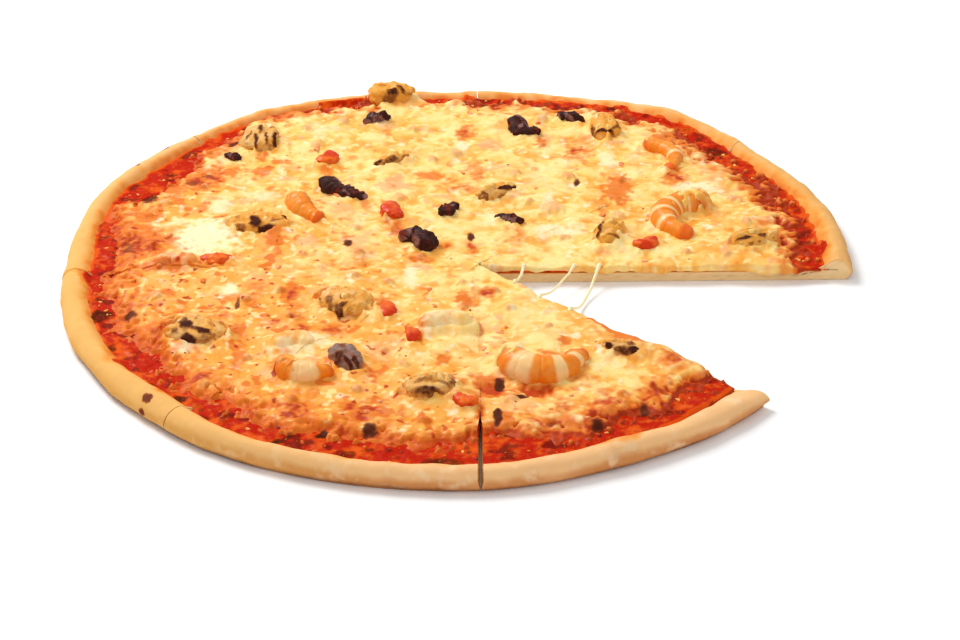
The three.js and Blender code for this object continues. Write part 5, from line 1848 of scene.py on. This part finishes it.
class PIZZA_OT_bits(bpy.types.Operator):
    """Strew browned flecks, scraps of seafood and crumbs of cheese over the pizza"""

    bl_idname = "pizza.bits"
    bl_label = "Flecks, scraps and crumbs"

    def execute(self, context):
        sizes, colours = context.scene.pizza_sizes, context.scene.pizza_colours
        for name, slot, layer, first, second, grain, drifts, density, size, flat in BITS:
            finish = bit_finish(name[:-1], getattr(colours, first), getattr(colours, second), grain)
            piece = grown_mesh(name, strewn_field(layer, drifts), strewn_group(finish),
                               Density=density, Size=getattr(sizes, size), Flatness=flat, Seed=7)
            hand_over(piece, finish, slot)
        return {"FINISHED"}


class PIZZA_OT_stage(bpy.types.Operator):
    """Set up the floor, the soft light and the camera"""

    bl_idname = "pizza.stage"
    bl_label = "Stage"

    def execute(self, context):
        scene = context.scene
        mesh = bpy.data.meshes.new("pale_floor")
        corners = [(-1, -1), (1, -1), (1, 1), (-1, 1)]
        mesh.from_pydata([(FLOOR_HALF * x, FLOOR_HALF * y, 0) for x, y in corners],
                         [], [(0, 1, 2, 3)])
        mesh.materials.append(floor_finish(scene.pizza_colours))
        floor = put_in("pale_floor", mesh)
        floor.location.z = FLOOR_LEVEL

        scene.world = bpy.data.worlds.new("soft_studio")
        scene.world.use_nodes = True
        sky = scene.world.node_tree.nodes["Background"]
        sky.inputs["Color"].default_value = (1, 1, 1, 1)
        sky.inputs["Strength"].default_value = SKY_STRENGTH
        for name, place, size, power in SOFT_BOXES:
            lamp = bpy.data.lights.new(name, "AREA")
            lamp.shape = "SQUARE"
            lamp.size = size
            lamp.energy = power
            box = put_in(name, lamp)
            box.location = place
            box.rotation_mode = "QUATERNION"
            box.rotation_quaternion = (-Vector(place)).to_track_quat("-Z", "Y")

        lens = bpy.data.cameras.new("photo_view")
        lens.sensor_width = 36
        lens.lens = CAMERA_LENS
        lens.clip_start = 0.05
        camera = put_in("photo_view", lens)
        ahead = (Vector(CAMERA_TARGET) - Vector(CAMERA_PLACE)).normalized()
        right = ahead.cross(Vector((0, 0, 1))).normalized()
        up = right.cross(ahead)
        cos, sin = math.cos(CAMERA_ROLL), math.sin(CAMERA_ROLL)
        turn = Matrix((right * cos + up * sin, up * cos - right * sin, -ahead)).transposed()
        camera.matrix_world = Matrix.Translation(CAMERA_PLACE) @ turn.to_4x4()
        scene.camera = camera
        scene.view_settings.view_transform = "Standard"
        return {"FINISHED"}


class PIZZA_PT_sidebar(bpy.types.Panel):
    """Lists the pieces of the pizza"""

    bl_idname = "PIZZA_PT_sidebar"
    bl_label = "Seafood pizza"
    bl_space_type = "VIEW_3D"
    bl_region_type = "UI"
    bl_category = "Pizza"

    def draw(self, context):
        for operator in OPERATORS:
            self.layout.operator(operator.bl_idname)
        for group in (context.scene.pizza_sizes, context.scene.pizza_colours):
            box = self.layout.box()
            for key in group.bl_rna.properties.keys():
                if key not in ("rna_type", "name"):
                    box.prop(group, key)


OPERATORS = (
    PIZZA_OT_dough, PIZZA_OT_sauce, PIZZA_OT_cheese, PIZZA_OT_mussels, PIZZA_OT_octopus,
    PIZZA_OT_prawns, PIZZA_OT_peppers, PIZZA_OT_squid, PIZZA_OT_strings, PIZZA_OT_bits,
    PIZZA_OT_stage,
)
CLASSES = (PizzaSizes, PizzaColours, *OPERATORS, PIZZA_PT_sidebar)


def register():
    for item in CLASSES:
        bpy.utils.register_class(item)
    bpy.types.Scene.pizza_sizes = bpy.props.PointerProperty(type=PizzaSizes)
    bpy.types.Scene.pizza_colours = bpy.props.PointerProperty(type=PizzaColours)


def unregister():
    del bpy.types.Scene.pizza_colours
    del bpy.types.Scene.pizza_sizes
    for item in reversed(CLASSES):
        bpy.utils.unregister_class(item)


def main():
    register()
    for operator in OPERATORS:
        family, name = operator.bl_idname.split(".")
        getattr(getattr(bpy.ops, family), name)()


if __name__ == "__main__":
    main()
